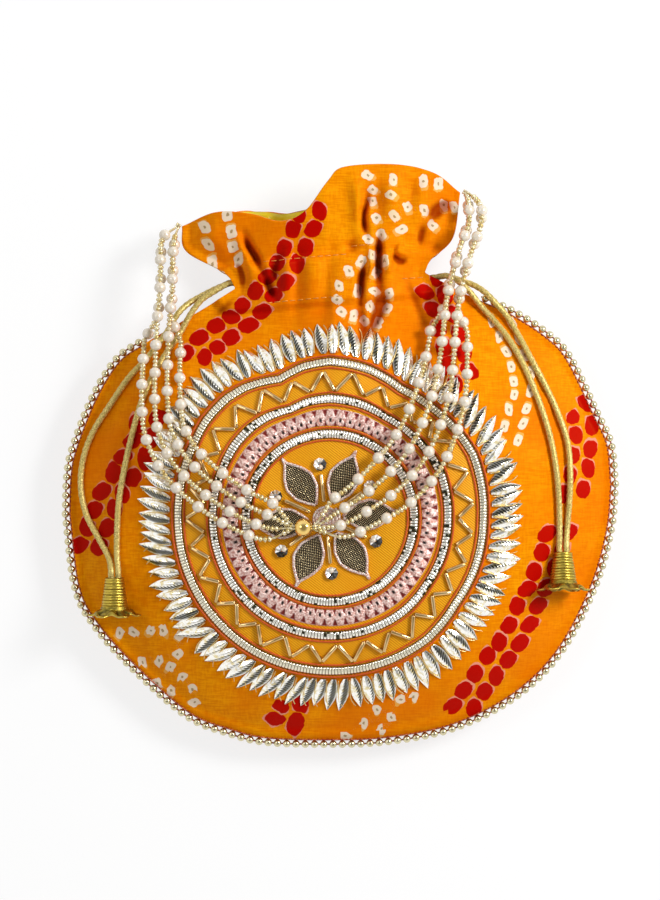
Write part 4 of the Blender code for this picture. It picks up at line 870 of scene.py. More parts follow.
# Zari cord: flat metallised yarn twisted over a core. Its plies glint along their crests and are olive
# between them; yarns of 0.15 mm are drawn at 0.4 mm.
zari, tree, shader = start_material("pale gold zari cord", metallic=0.35, roughness=0.42)
place = add_node(tree, "TexCoord")
yarn = add_node(tree, "TexNoise", {"Vector": place.outputs["Object"], "Scale": 1500.0, "Detail": 2.0})
slow = add_node(tree, "TexNoise", {"Vector": place.outputs["Object"], "Scale": 120.0, "Detail": 1.0})
yarn_share = add_node(tree, "MapRange", {0: yarn, 1: 0.36, 2: 0.62})
metal = add_node(tree, "Mix", {0: yarn_share, 6: colour("#84702A"), 7: colour("#F4DE92")}, data_type="RGBA")
metal = add_node(tree, "Mix", {0: slow, 6: metal, 7: colour("#D0B85E")}, data_type="RGBA")
tree.links.new(metal.outputs[2], shader.inputs["Base Color"])
relief = add_node(tree, "Bump", {"Height": yarn, "Strength": 0.5, "Distance": 0.0003})
tree.links.new(relief.outputs[0], shader.inputs["Normal"])


def bell_place(x, top_y):
    """Top and direction of a bell that lies on the cloth, rim towards the bottom of the bag."""
    rim_y = top_y - BELL_LENGTH
    top = Vector((x, top_y, height_of(x, top_y) + BELL_TOP / 2 + BELL_OFF_CLOTH))
    rim = Vector((x, rim_y, height_of(x, rim_y) + BELL_RIM / 2 + BELL_OFF_CLOTH))
    return top, (rim - top).normalized()


def tunnel_run(side):
    start, end = np.array(NECK_LEFT), np.array(NECK_RIGHT)
    span = end - start
    upward = np.array((-span[1], span[0])) / np.linalg.norm(span)
    flat = start + np.linspace(0.055, 0.945, 29)[:, None] * span - side * 0.0027 * upward
    full = fullness(flat, np.full(len(flat), NECK_AT))
    below_cloth = CLOTH + 2 * GAP + CORD / 2
    top = OUTSIDE_GROUND + FRONT_CROWN * full + TUNNEL_LIFT - below_cloth
    around = [(x, y) for x in (-0.0016, 0, 0.0016) for y in (-0.0014, 0, 0.0014)]
    cloth = np.array([min(height_of(p[0] + x, p[1] + y) for x, y in around) for p in flat]) - below_cloth
    top = np.minimum(top, cloth)
    top = np.minimum(np.minimum(top, np.roll(top, 1)), np.roll(top, -1))[1:-1]
    top = np.convolve(np.pad(top, 2, mode="edge"), np.ones(3) / 3, "valid")
    low = SEAM_HEIGHT - GAP / 2 - CLOTH - BACK_CROWN * full - TUNNEL_LIFT + below_cloth
    return np.column_stack([flat, top]), np.column_stack([flat, low])


def drawstring_route(side, legs, bell):
    top, down = bell
    front_run, back_run = tunnel_run(side)
    if side > 0:
        front_run, back_run = front_run[::-1], back_run[::-1]
    ends = []
    for leg, shift in zip(legs, (-side, side)):
        beside = Vector((shift * CORD_SEPARATION / 2, 0, 0))
        inside = [tuple(top + beside + down * depth) for depth in (CORD_END_DEPTH, 0.0, -0.0040)]
        lies = [(x, y, SEAM_HEIGHT + z if z is not None else height_of(x, y) + 0.0006 + CORD / 2) for x, y, z in leg]
        ends.append(inside + lies[::-1])
    middle = (front_run[-1] + back_run[-1]) / 2
    half = (front_run[-1][2] - back_run[-1][2]) / 2
    turn = [
        (middle[0] - side * half * math.cos(a), middle[1], middle[2] + half * math.sin(a))
        for a in np.radians((60, 30, 0, -30, -60))
    ]
    route = [*ends[0], *map(tuple, front_run), *turn, *map(tuple, back_run[::-1]), *ends[1][::-1]]
    return smooth_line(route, 10)


# The bells: stamped brass, antiqued. A ribbed cone ends in a flared skirt of six petals with curled tips,
# open below. The cord ends are knotted inside.
antique, tree, shader = start_material("antique brass", metallic=1.0, roughness=0.34)
place = add_node(tree, "TexCoord")
worn = add_node(tree, "TexNoise", {"Vector": place.outputs["Object"], "Scale": 520.0, "Detail": 3.0})
hollow = add_node(tree, "NewGeometry")
high = add_node(tree, "MapRange", {0: hollow.outputs["Pointiness"], 1: 0.46, 2: 0.56})
worn = add_node(tree, "MapRange", {0: worn, 1: 0.35, 2: 0.65, 3: -0.25, 4: 0.25})
bright = add_node(tree, "Math", {0: high, 1: worn}, operation="ADD", use_clamp=True)
metal = add_node(tree, "Mix", {0: bright, 6: colour("#3E3714"), 7: colour("#C2AA48")}, data_type="RGBA")
tree.links.new(metal.outputs[2], shader.inputs["Base Color"])


def bell_mesh(name, bell):
    top, down = bell
    around, rings = 96, 72
    share = np.linspace(0, 1, rings)
    angle = np.linspace(0, 2 * math.pi, around, endpoint=False)
    cone = np.interp(share, (0, 0.62, 0.74, 0.84, 0.93, 1.0), (0.0034, 0.0050, 0.0059, 0.0080, 0.0103, 0.0112))
    ribs = 0.00024 * np.sin(2 * math.pi * 10 * share / 0.64) * (share < 0.64)
    petal = 0.5 + 0.5 * np.cos(6 * angle + 0.5)
    flare = smooth_step(0.66, 1.0, share)[:, None]
    radius = (cone + ribs)[:, None] * (1 - 0.22 * flare * (1 - petal))
    radius = radius + 0.0004 * flare * np.cos(12 * angle)
    curl = smooth_step(0.86, 1.0, share)[:, None]
    drop = share[:, None] * BELL_LENGTH - 0.0034 * flare * (1 - petal) ** 1.4 - 0.0026 * curl * petal
    local = np.stack([radius * np.cos(angle), radius * np.sin(angle), -drop], -1).reshape(-1, 3)
    turn = np.array(Vector((0, 0, -1)).rotation_difference(down).to_matrix())
    return join_pieces(name, [(local @ turn.T + np.array(top), tube_faces(rings, around, caps=False), 0)])


for name, side, legs, place_of_bell in (
    ("left", -1, (LEFT_INNER_LEG, LEFT_OUTER_LEG), LEFT_BELL),
    ("right", 1, (RIGHT_INNER_LEG, RIGHT_OUTER_LEG), RIGHT_BELL),
):
    bell = bell_place(*place_of_bell)
    mesh = bell_mesh(f"{name}_bell", bell)
    brass_bell = add_piece(f"{name}_bell", mesh, [antique], "antique_brass", f"bell_{name}", thickness=0.0006)
    knot_at = np.array(bell[0] + bell[1] * (CORD_END_DEPTH + KNOT_HALF + GAP))
    wound = np.linspace(0, 2 * math.pi, 90, endpoint=False)
    loops = np.column_stack([
        0.0012 * np.cos(2 * wound) + 0.0006 * np.cos(3 * wound),
        0.0012 * np.sin(2 * wound) - 0.0006 * np.sin(3 * wound),
        0.0010 * np.sin(3 * wound),
    ]) + knot_at
    knot = add_piece(
        f"{name}_cord_knot", join_pieces("knot", [(*twisted_tube(loops, 0.0010, lay=0.0035, closed=True), 0)]),
        [zari], "zari_cord", f"bell_{name}_knot",
    )
    route = even_points(drawstring_route(side, legs, bell), 0.0007)
    mesh = join_pieces("cord", [(*twisted_tube(route, CORD / 2, plies=3, lay=0.0085, around=16, depth=0.16), 0)])
    cord = add_piece(f"{name}_drawstring", mesh, [zari], "zari_cord", f"drawstring_{name}")


# The handle: four strings of 5 mm pearls with four gold-lined seed beads between each two, sewn inside the
# corners of the ruffle. All four pass through one gold bead. The list gives x, y, the spacing of the
# strings, how far they are stacked two by two, and the height of the lower ones over the cloth.
PEARL = 0.0050
SEED = 0.0026
HANDLE_ROUTE = (
    (-0.0713, 0.1034, 0.0011, 1.0, -0.0019), (-0.0728, 0.1010, 0.0014, 1.0, -0.0017),
    (-0.0760, 0.0955, 0.0054, 1.0, 0.0005), (-0.0765, 0.0872, 0.0054, 1.0, 0.0040),
    (-0.0765, 0.0752, 0.0054, 1.0, 0.0072), (-0.0775, 0.0632, 0.0054, 1.0, 0.0076),
    (-0.0782, 0.0512, 0.0054, 0.5, 0.0074), (-0.0785, 0.0392, 0.0054, 0.0, 0.0070),
    (-0.0783, 0.0252, 0.0056, 0.0, 0.0070), (-0.0765, 0.0112, 0.0058, 0.0, 0.0070),
    (-0.0695, -0.0018, 0.0060, 0.0, 0.0070), (-0.0575, -0.0133, 0.0060, 0.0, 0.0071),
    (-0.0440, -0.0223, 0.0058, 0.0, 0.0071), (-0.0315, -0.0278, 0.0054, 0.0, 0.0074),
    (-0.0250, -0.0295, 0.0026, 0.0, 0.0078), (-0.0222, -0.0300, 0.0011, 0.0, 0.0080),
    (-0.0205, -0.0303, 0.0011, 1.0, 0.0080), (-0.0161, -0.0303, 0.0011, 1.0, 0.0080),
    (-0.0117, -0.0303, 0.0011, 1.0, 0.0080), (-0.0100, -0.0300, 0.0011, 0.0, 0.0080),
    (-0.0070, -0.0291, 0.0026, 0.0, 0.0078), (-0.0005, -0.0266, 0.0056, 0.0, 0.0075),
    (0.0100, -0.0203, 0.0066, 0.0, 0.0081), (0.0220, -0.0113, 0.0078, 0.0, 0.0077),
    (0.0325, 0.0007, 0.0080, 0.0, 0.0071), (0.0395, 0.0147, 0.0076, 0.0, 0.0070),
    (0.0440, 0.0292, 0.0070, 0.0, 0.0068), (0.0463, 0.0432, 0.0060, 0.0, 0.0068),
    (0.0475, 0.0552, 0.0054, 0.5, 0.0070), (0.0490, 0.0672, 0.0054, 1.0, 0.0072),
    (0.0515, 0.0792, 0.0054, 1.0, 0.0076), (0.0550, 0.0912, 0.0054, 1.0, 0.0070),
    (0.0590, 0.1022, 0.0054, 1.0, 0.0040), (0.0592, 0.1102, 0.0054, 1.0, 0.0005),
    (0.0566, 0.1162, 0.0014, 1.0, -0.0017), (0.0543, 0.1178, 0.0011, 1.0, -0.0019),
)
BEAD_POINT = 17
GOLD_BEAD = 0.0080
SEED_PITCH = SEED * 0.74

# Glass pearl: a coat of pearl lacquer on glass. It is cream, with a clear highlight under the coat and a
# darker, warmer rim.
pearl, tree, shader = start_material(
    "cream glass pearl", roughness=0.22, ior=1.6, metallic=0.10, coat_weight=1.0, coat_roughness=0.05,
    subsurface_weight=0.15, subsurface_radius=(0.002, 0.0017, 0.0012),
)
mottle(tree, shader, 330.0, "#E2D2B8", "#FAF1E2")
# Gold-lined seed bead: clear glass with a gilt hole. It reads as pale amber with bright edges.
seed_glass, tree, shader = start_material(
    "gold lined seed bead", roughness=0.10, ior=1.5, metallic=0.45, transmission_weight=0.25
)
mottle(tree, shader, 620.0, "#D8BC72", "#FFF6D4", low=0.38, high=0.62)
# Polished gold plate: a mirror.
gold_plate, tree, shader = start_material("polished gold plate", metallic=1.0, roughness=0.09)
mottle(tree, shader, 300.0, "#E0B048", "#FFE49A", detail=2.0)

route = smooth_line(HANDLE_ROUTE, 10)
route[:, 2] = np.maximum(route[:, 2], 0.0011)
route[:, 3] = np.clip(route[:, 3], 0, 1)
along = np.gradient(route[:, :2], axis=0)
along /= np.linalg.norm(along, axis=1)[:, None]
across = np.stack([-along[:, 1], along[:, 0]], -1)
base = np.array([height_of(x, y) for x, y in route[:, :2]])
for _ in range(12):
    base[1:-1] = (base[:-2] + 2 * base[1:-1] + base[2:]) / 4
x, y, spacing, _, height = HANDLE_ROUTE[BEAD_POINT]
bead_centre = np.array((x, y, height_of(x, y) + height + spacing / 2))
bead_parts = ball(GOLD_BEAD / 2, 48, 32, bore=0.0015)
bead_mesh = join_pieces("gold_bead", [(bead_parts[0] + bead_centre, bead_parts[1], 0)])
gold_bead = add_piece("handle_bead", bead_mesh, [gold_plate], "polished_gold", "handle_gold_bead")
spread, layer = np.minimum(1, 2 * (1 - route[:, 3])), np.minimum(1, 2 * route[:, 3])
room = np.minimum(PEARL, route[:, 2] + 0.0004) / 2
for number in range(4):
    outward = np.sign(number - 1.5)
    if number in (0, 3):
        sideways, up = outward * (0.5 + spread) * route[:, 2], 0 * route[:, 2]
    else:
        sideways, up = outward * 0.5 * route[:, 2], layer * route[:, 2]
    centre = np.column_stack([route[:, :2] + across * sideways[:, None], base + route[:, 4] + up])
    line = even_points(centre, 0.0008)
    total = distance_along(line)[-1]
    walked = distance_along(centre)
    parts = [(*twisted_tube(line, 0.00056, lay=0.0018, around=6), 1)]
    pearls, seeds, at = [], [], 0.004 + 0.0031 * ((number * 2) % 4)
    while at < total - 0.003:
        pearls.append(at)
        seeds += [at + PEARL / 2 + SEED_PITCH * (k + 0.5) for k in range(4)]
        at += PEARL + 4 * SEED_PITCH
    pearls = [p for p in pearls if np.interp(p, walked, room) > 0.0021]
    seeds = [p for p in seeds if p < total - 0.001 and np.interp(p, walked, room) > 0.0008]
    parts += [(*made, 0) for made in beads_on(line, pearls, ball(PEARL / 2 * 1.03, 20, 14, length=0.98))]
    parts += [(*made, 1) for made in beads_on(line, seeds, ball(SEED / 2, 12, 7, bore=0.0004, length=0.76))]
    strand = add_piece(
        f"pearl_string_{number + 1}", join_pieces("string", parts), [pearl, seed_glass], "pearl",
        f"handle_strand_{number + 1}",
    )


# The ground of the motif: a disc of mustard tissue, silk warp with a gilt weft, in a fine twill. It shines
# along the diagonal. Twill lines are 0.3 mm apart and drawn at 0.9 mm.
DISC_TOP = 0.0012
tissue, tree, shader = start_material(
    "mustard tissue twill", metallic=0.10, roughness=0.45, specular_ior_level=0.2
)
place = add_node(tree, "TexCoord")
turned = add_node(tree, "Mapping", {"Vector": place.outputs["Object"], "Rotation": (0, 0, math.radians(38))})
twill = add_node(
    tree, "TexWave", {"Vector": turned, "Scale": 345.0, "Distortion": 1.0, "Detail": 1.0, "Detail Scale": 3.0},
    bands_direction="Y"
)
broad = add_node(tree, "TexNoise", {"Vector": place.outputs["Object"], "Scale": 40.0, "Detail": 2.0})
ground = add_node(
    tree, "Mix", {0: twill.outputs["Fac"], 6: colour("#D88200"), 7: colour("#FFBE1C")}, data_type="RGBA"
)
deep = add_node(tree, "MapRange", {0: broad, 1: 0.42, 2: 0.68, 3: 0.0, 4: 0.55})
ground = add_node(tree, "Mix", {0: deep, 6: ground, 7: colour("#F09A06")}, data_type="RGBA")
tree.links.new(ground.outputs[2], shader.inputs["Base Color"])
relief = add_node(tree, "Bump", {"Height": twill.outputs["Fac"], "Strength": 0.25, "Distance": 0.0003})
tree.links.new(relief.outputs[0], shader.inputs["Normal"])


# The worked ground has drawn in where the bag is full, so the outer rings bulge and dip: in mm, by degrees.
DRAWN_ANGLES = (-180, -150, -120, -90, -51, -34, -20, 0, 24, 46, 61, 75, 90, 100, 110, 123, 131, 142, 153, 166, 180)
DRAWN_BY = (0, 0.4, 0.8, 1.0, 1.6, 0, 0.5, 0.5, 1.8, -0.8, -2.2, 0.5, 1.9, 0.8, -1.9, 1.6, 2.6, 2.4, 1.2, 0.4, 0)


def drawn_in(radius, angle):
    """How far the embroidery at this radius has moved out or in."""
    degrees = (np.degrees(angle) + 180) % 360 - 180
    return np.interp(degrees, DRAWN_ANGLES, DRAWN_BY) / 1000 * smooth_step(0.036, 0.068, radius)


def ring_points(radius, count, turn=0.0, centre=MOTIF):
    angle = turn + 2 * math.pi * np.arange(count) / count
    radius = radius + drawn_in(radius, angle)
    return np.stack([centre[0] + radius * np.cos(angle), centre[1] + radius * np.sin(angle)], -1)


def polar_grid(radii, count, heights):
    """Corners and faces of rings laid on the front. heights is the lift of each corner, ring by ring."""
    corners = np.vstack([lie_on(ring_points(radius, count), 0) for radius in radii])
    corners[:, 2] += np.asarray(heights).ravel()
    return corners, tube_faces(len(radii), count, caps=False)


radii = np.linspace(0.0004, 0.0690, 44)
disc = join_pieces("tissue", [(*polar_grid(radii, 150, np.full((44, 150), DISC_TOP)), 0)])
add_piece("tissue_ground", disc, [tissue], "mustard_tissue", "tissue_disc", thickness=-0.0004)

# Gota rings: silver ribbon, pleated across and couched down at both edges. Each pleat stands up square. Its
# crest is left bright; the step beside it and both edges are painted dark as shade, and in patches ribs are
# painted near black as dark reflections.
gota, tree, shader = start_material("silver gota ribbon", metallic=1.0, roughness=0.20)
rib = add_node(tree, "Attribute", attribute_name="rib_place")
rib = add_node(tree, "SeparateXYZ", {0: rib.outputs["Vector"]})
place = add_node(tree, "TexCoord")
# Painted reflection: in patches, ribs are painted near black, as dark mirror reflections.
area = add_node(tree, "TexNoise", {"Vector": place.outputs["Object"], "Scale": 55.0, "Detail": 1.0})
dark_reflection_share = add_node(tree, "MapRange", {0: area, 1: 0.46, 2: 0.62, 3: 0.08, 4: 0.22})
dark_reflection_rib = add_node(tree, "Math", {0: rib.outputs["Y"], 1: dark_reflection_share}, operation="LESS_THAN")
metal = add_node(tree, "Mix", {0: dark_reflection_rib, 6: colour("#FCFAF2"), 7: colour("#3C3C2E")}, data_type="RGBA")
metal = add_node(
    tree, "Mix", {0: rib.outputs["Z"], 6: metal, 7: colour("#E2DAC0")}, data_type="RGBA", blend_type="MULTIPLY"
)
# Painted shade: the step beside each crest and both couched edges are darkened to dark olive brown.
groove = add_node(tree, "MapRange", {0: rib.outputs["X"], 1: 0.22, 2: 0.70, 3: 0.0, 4: 0.95})
metal = add_node(tree, "Mix", {0: groove, 6: metal, 7: colour("#54482C")}, data_type="RGBA")
tree.links.new(metal.outputs[2], shader.inputs["Base Color"])
per_pleat = 5
levels = np.linspace(-0.5, 0.5, 9)
dome = np.array([0.0, 0.72, 0.93, 1.0, 0.98, 1.0, 0.93, 0.72, 0.0])[:, None]
for name, radius, width, pleats, dull in (
    ("outer", 0.0662, 0.0036, 310, 0.75),
    ("middle", 0.0510, 0.0036, 236, 0.15),
    ("inner", 0.0365, 0.0040, 190, 0.15),
):
    count = pleats * per_pleat
    # Where the painted groove shade falls: the step of each pleat, and both couched edges.
    groove = np.array([1.0, 0.25, 0.0, 0.0, 0.25])[np.arange(count) % per_pleat][None, :] + 0 * dome
    if name == "outer":
        groove = 0.85 * groove
    groove = np.maximum(groove, (np.abs(levels) > 0.45)[:, None] * 0.8)
    random = np.random.default_rng(int(radius * 1e5))
    thirds = np.minimum((levels + 0.5) * 3, 2).astype(int)
    each = np.repeat(random.uniform(0.24 if name == "outer" else 0.0, 1.0, (3, pleats)), per_pleat, axis=1)[thirds]
    heights = DISC_TOP + 0.0002 + 0.0010 * dome * (1 - 0.55 * groove) * (0.85 + 0.3 * each)
    mesh = join_pieces("gota", [(*polar_grid(radius + width * levels, count, heights), 0)])
    store(mesh, "rib_place", np.stack([groove, each, np.full_like(each, dull)], -1))
    add_piece(f"gota_{name}", mesh, [gota], "silver_gota", f"gota_ring_{name}")

# Dori: soft twisted cord of orange rayon, 0.9 mm, stitched along both edges of each gota ring. It is matt,
# with a dark line between its plies.
dori, tree, shader = start_material("orange rayon dori", roughness=0.62, sheen_weight=0.05)
mottle(tree, shader, 1400.0, "#B83A00", "#F06808", detail=2.0)
for name, radius, width in (("outer", 0.0662, 0.0038), ("middle", 0.0510, 0.0036), ("inner", 0.0365, 0.0040)):
    for side, word in ((-1, "inside"), (1, "outside")):
        reach = radius + side * (width / 2 + GAP + 0.00045)
        line = lie_on(ring_points(min(reach, 0.0688), round(reach * 2 * math.pi / 0.00045)), DISC_TOP + 0.0005)
        mesh = join_pieces("dori", [(*twisted_tube(line, 0.00044, lay=0.0022, around=8, depth=0.42, closed=True), 0)])
        add_piece(f"dori_{name}_{word}_edge", mesh, [dori], "orange_dori", f"dori_{name}_{word}")

# The rose ring: a braid of rose metallic tape, folded into bows. Each bow has a square hole, painted near
# black as shade, and dark points stand between the bows along the outer edge. One bow is 4.4 mm.
BOWS = 62
rose, tree, shader = start_material("rose metallic braid", metallic=0.35, roughness=0.34)
bow = add_node(tree, "Attribute", attribute_name="bow_place")
bow = add_node(tree, "SeparateXYZ", {0: bow.outputs["Vector"]})
place = add_node(tree, "TexCoord")
fleck = add_node(tree, "TexNoise", {"Vector": place.outputs["Object"], "Scale": 1100.0, "Detail": 2.0})
fleck = add_node(tree, "MapRange", {0: fleck, 1: 0.36, 2: 0.62})
tape = add_node(tree, "Mix", {0: fleck, 6: colour("#C98A7C"), 7: colour("#FCE0D6")}, data_type="RGBA")
metal = add_node(tree, "Mix", {0: bow.outputs["X"], 6: tape, 7: colour("#7A1408")}, data_type="RGBA")
# Painted shade: the square hole of each bow is coloured near black.
metal = add_node(tree, "Mix", {0: bow.outputs["Y"], 6: metal, 7: colour("#1C1412")}, data_type="RGBA")
tree.links.new(metal.outputs[2], shader.inputs["Base Color"])
relief = add_node(tree, "Bump", {"Height": fleck, "Strength": 0.5, "Distance": 0.0004})
tree.links.new(relief.outputs[0], shader.inputs["Normal"])
per_bow = 16
count = BOWS * per_bow
levels = np.linspace(-0.5, 0.5, 17)
phase = ((np.arange(count) + 0.5) / per_bow % 1.0)[None, :]
level = levels[:, None]
square = np.maximum(np.abs(phase - 0.5) / 0.13, np.abs(level + 0.16) / 0.10)
hole = 1 - smooth_step(0.85, 1.15, square)
side_phase = (phase + 0.5) % 1.0
point_half = 0.25 * np.clip((level - 0.02) / 0.42, 0, 1) * (level < 0.46)
point = (1 - smooth_step(0.75, 1.15, np.abs(side_phase - 0.5) / np.maximum(point_half, 0.01))) * (level > 0.03)
notch_half = 0.17 * np.clip((-level - 0.18) / 0.30, 0, 1)
notch = (1 - smooth_step(0.75, 1.15, np.abs(side_phase - 0.5) / np.maximum(notch_half, 0.01))) * (level < -0.20)
dark = np.maximum(point, notch)
bulge = np.sqrt(np.clip(1 - (2 * level) ** 2, 0, 1)) * (0.45 + 0.55 * np.abs(np.sin(math.pi * (phase + 0.8 * level))))
heights = DISC_TOP + 0.0002 + 0.0011 * bulge * (1 - 0.8 * hole) * (1 - 0.75 * dark)
mesh = join_pieces("braid", [(*polar_grid(0.04345 + 0.0069 * levels, count, heights), 0)])
store(mesh, "bow_place", np.stack(np.broadcast_arrays(dark, hole, 0 * heights), -1))
add_piece("rose_braid", mesh, [rose], "rose_sequin", "sequin_ring")

# The zigzag: gold bugle beads of 11 by 2 mm, sewn end to end, each a cut glass tube with a gilt bore. They
# show a bright line along the top between two darker ones.
BUGLES = 58
bugle_glass, tree, shader = start_material("gold lined bugle bead", metallic=0.9, roughness=0.12)
mottle(tree, shader, 150.0, "#A87C34", "#FFE2A8")


def bugle(start, end, radius=0.0010, around=8):
    """A tube with a bore and rounded ends, between two points."""
    start, end = np.array(start, float), np.array(end, float)
    share = np.array((0.02, 0.0, 0.0, 0.03, 0.5, 0.97, 1.0, 1.0, 0.98))
    reach = radius * np.array((0.45, 0.55, 0.85, 1.0, 1.0, 1.0, 0.85, 0.55, 0.45))
    line = start + share[:, None] * (end - start)
    direction = (end - start) / np.linalg.norm(end - start)
    across = np.cross((0, 0, 1), direction)
    across /= np.linalg.norm(across)
    up = np.cross(direction, across)
    turns = np.linspace(0, 2 * math.pi, around, endpoint=False)
    ring = np.cos(turns)[:, None] * across + np.sin(turns)[:, None] * up
    return (line[:, None] + reach[:, None, None] * ring).reshape(-1, 3), tube_faces(len(share), around, caps=False)


random = np.random.default_rng(17)
corners_in = ring_points(0.0549, BUGLES) + random.normal(0, 0.00040, (BUGLES, 2))
corners_out = ring_points(0.0622, BUGLES) + random.normal(0, 0.00040, (BUGLES, 2))
flat = np.where((np.arange(BUGLES) % 2)[:, None] == 1, corners_out, corners_in)
ends = lie_on(flat, DISC_TOP + 0.0010)
parts = []
for here, after in zip(ends, np.roll(ends, -1, axis=0)):
    span = after - here
    trim = 0.0006 / np.linalg.norm(span)
    parts.append((*bugle(here + trim * span, after - trim * span, radius=0.00095), 0))
add_piece("zigzag_bugles", join_pieces("zigzag", parts), [bugle_glass], "polished_gold", "bugle_zigzag")

# The fringe: gota ribbon folded into pointed petals of 13.5 by 4.6 mm and stitched side by side, each with
# a sharp fold down its middle. One side of the fold is left bright and the other is painted dark as shade,
# crossed by the ribbon's fine ribs and lighter towards its outer edge. Gilt thread loops lie between them.
PETALS = 95
FRINGE_ROOT = 0.0700
petal_silver, tree, shader = start_material("pleated silver petal", metallic=1.0, roughness=0.20)
petal = add_node(tree, "Attribute", attribute_name="petal_place")
petal = add_node(tree, "SeparateXYZ", {0: petal.outputs["Vector"]})
place = add_node(tree, "TexCoord")
crinkle = add_node(tree, "TexNoise", {"Vector": place.outputs["Object"], "Scale": 520.0, "Detail": 2.0})
slant = add_node(tree, "Math", {0: petal.outputs["Y"], 1: 0.16, 2: petal.outputs["X"]}, operation="MULTIPLY_ADD")
slant = add_node(tree, "Math", {0: slant, 1: 66.0}, operation="MULTIPLY")
slant = add_node(tree, "Math", {0: slant}, operation="SINE")
start = add_node(tree, "MapRange", {0: petal.outputs["Z"], 3: -0.30, 4: 0.62})
past = add_node(tree, "Math", {0: petal.outputs["Y"], 1: start}, operation="SUBTRACT")
past = add_node(tree, "Math", {0: slant, 1: 0.16, 2: past}, operation="MULTIPLY_ADD")
# Painted shade: the petal's side beyond the fold is darkened to near black, striped by the ribs, less near its edge.
painted_shade_side = add_node(tree, "MapRange", {0: past, 1: -0.04, 2: 0.10})
edge_light = add_node(tree, "MapRange", {0: petal.outputs["Y"], 1: 0.62, 2: 0.90, 3: 1.0, 4: 0.25})
hatch = add_node(tree, "MapRange", {0: slant, 1: -0.9, 2: 0.7, 3: 0.72, 4: 1.0})
dark = add_node(tree, "Math", {0: painted_shade_side, 1: edge_light}, operation="MULTIPLY")
dark = add_node(tree, "Math", {0: dark, 1: hatch}, operation="MULTIPLY")
warm = add_node(tree, "MapRange", {0: crinkle, 1: 0.48, 2: 0.66})
metal = add_node(tree, "Mix", {0: warm, 6: colour("#FDFBF4"), 7: colour("#E9D9A8")}, data_type="RGBA")
metal = add_node(tree, "Mix", {0: dark, 6: metal, 7: colour("#1C1E16")}, data_type="RGBA")
tree.links.new(metal.outputs[2], shader.inputs["Base Color"])
relief = add_node(tree, "Bump", {"Height": crinkle, "Strength": 0.35, "Distance": 0.0004})
tree.links.new(relief.outputs[0], shader.inputs["Normal"])
gilt_thread, tree, shader = start_material("gilt embroidery thread", metallic=0.7, roughness=0.3)
mottle(tree, shader, 1500.0, "#B8862C", "#FFE9A8")
random = np.random.default_rng(29)
parts, stored = [], []
shares = np.linspace(0, 1, 10)
sides = np.linspace(-1, 1, 7)
for number in range(PETALS):
    angle = 2 * math.pi * (number + 0.5) / PETALS + random.normal(0, 0.004)
    lean = 0.15 * math.sin(angle + 1.0) + random.normal(0, 0.05)
    tip = 0.0836 + random.normal(0, 0.0006)
    width = (0.0054 + random.normal(0, 0.0002)) / 2
    lift = 0.0016 + random.normal(0, 0.0002)
    outline = np.interp(shares, (0, 0.15, 0.33, 0.50, 0.70, 0.87, 1.0), (0.34, 0.74, 0.96, 1.0, 0.80, 0.40, 0.03))
    reach = FRINGE_ROOT + shares * (tip - FRINGE_ROOT)
    turn = angle + lean * (shares - 0.3) * 0.45
    radial = np.stack([np.cos(turn), np.sin(turn)], -1)
    beside = np.stack([-np.sin(turn), np.cos(turn)], -1)
    reach = reach + drawn_in(FRINGE_ROOT, turn)
    flat = np.array(MOTIF) + (reach[:, None] * radial)[:, None]
    flat = flat + (outline[:, None] * width * sides)[..., None] * beside[:, None]
    fold = (1 - np.abs(sides)) ** 0.85
    height = 0.0005 + lift * outline[:, None] * fold + 0.0002 * outline[:, None] * (np.abs(sides) > 0.9)
    corners = lie_on(flat.reshape(-1, 2), 0)
    corners[:, 2] += height.ravel()
    parts.append((corners, grid_faces(10, 7)[:, (0, 3, 2, 1)].tolist(), 0))
    tone = random.uniform(0, 1)
    stored.append(np.stack(np.broadcast_arrays(shares[:, None], sides[None, :], tone), -1).reshape(-1, 3))
    loop = np.array((
        (0.0706, -0.46), (0.0735, -0.49), (0.0765, -0.52), (0.0792, -0.50), (0.0812, -0.36), (0.0826, -0.18)
    ))
    turn = angle + loop[:, 1] * 2 * math.pi / PETALS
    flat = (loop[:, :1] + drawn_in(FRINGE_ROOT, turn)[:, None]) * np.stack([np.cos(turn), np.sin(turn)], -1)
    flat = np.array(MOTIF) + flat
    line = smooth_line(lie_on(flat, 0.0011), 4)
    thread = twisted_tube(line, 0.00024, lay=0.001, around=5)
    parts.append((*thread, 1))
    stored.append(np.zeros((len(thread[0]), 3)))
mesh = join_pieces("fringe", parts)
store(mesh, "petal_place", np.vstack(stored))
add_piece("gota_fringe", mesh, [petal_silver, gilt_thread], "silver_gota", "petal_fringe")

# The flower: six leaves of woven gilt wire mesh, blackened by age, each held by a braided lurex cord. Between
# them a bugle leads to a faceted cup sequin with a glass bead, and a coil of lurex covers the middle.
FLOWER = (-0.0064, -0.0267)
wire_mesh, tree, shader = start_material("aged gilt wire mesh", metallic=0.75, roughness=0.30)
leaf = add_node(tree, "Attribute", attribute_name="leaf_place")
leaf = add_node(tree, "SeparateXYZ", {0: leaf.outputs["Vector"]})
place = add_node(tree, "TexCoord")
bent = add_node(tree, "TexNoise", {"Vector": place.outputs["Object"], "Scale": 160.0, "Detail": 1.0})
strand_a = add_node(tree, "Math", {0: leaf.outputs["X"], 1: 1.6, 2: leaf.outputs["Y"]}, operation="MULTIPLY_ADD")
strand_a = add_node(tree, "Math", {0: bent, 1: 0.0012, 2: strand_a}, operation="MULTIPLY_ADD")
strand_a = add_node(tree, "Math", {0: strand_a, 1: 4700.0}, operation="MULTIPLY")
strand_a = add_node(tree, "Math", {0: strand_a}, operation="SINE")
strand_b = add_node(tree, "Math", {0: leaf.outputs["X"], 1: 0.5, 2: leaf.outputs["Z"]}, operation="MULTIPLY_ADD")
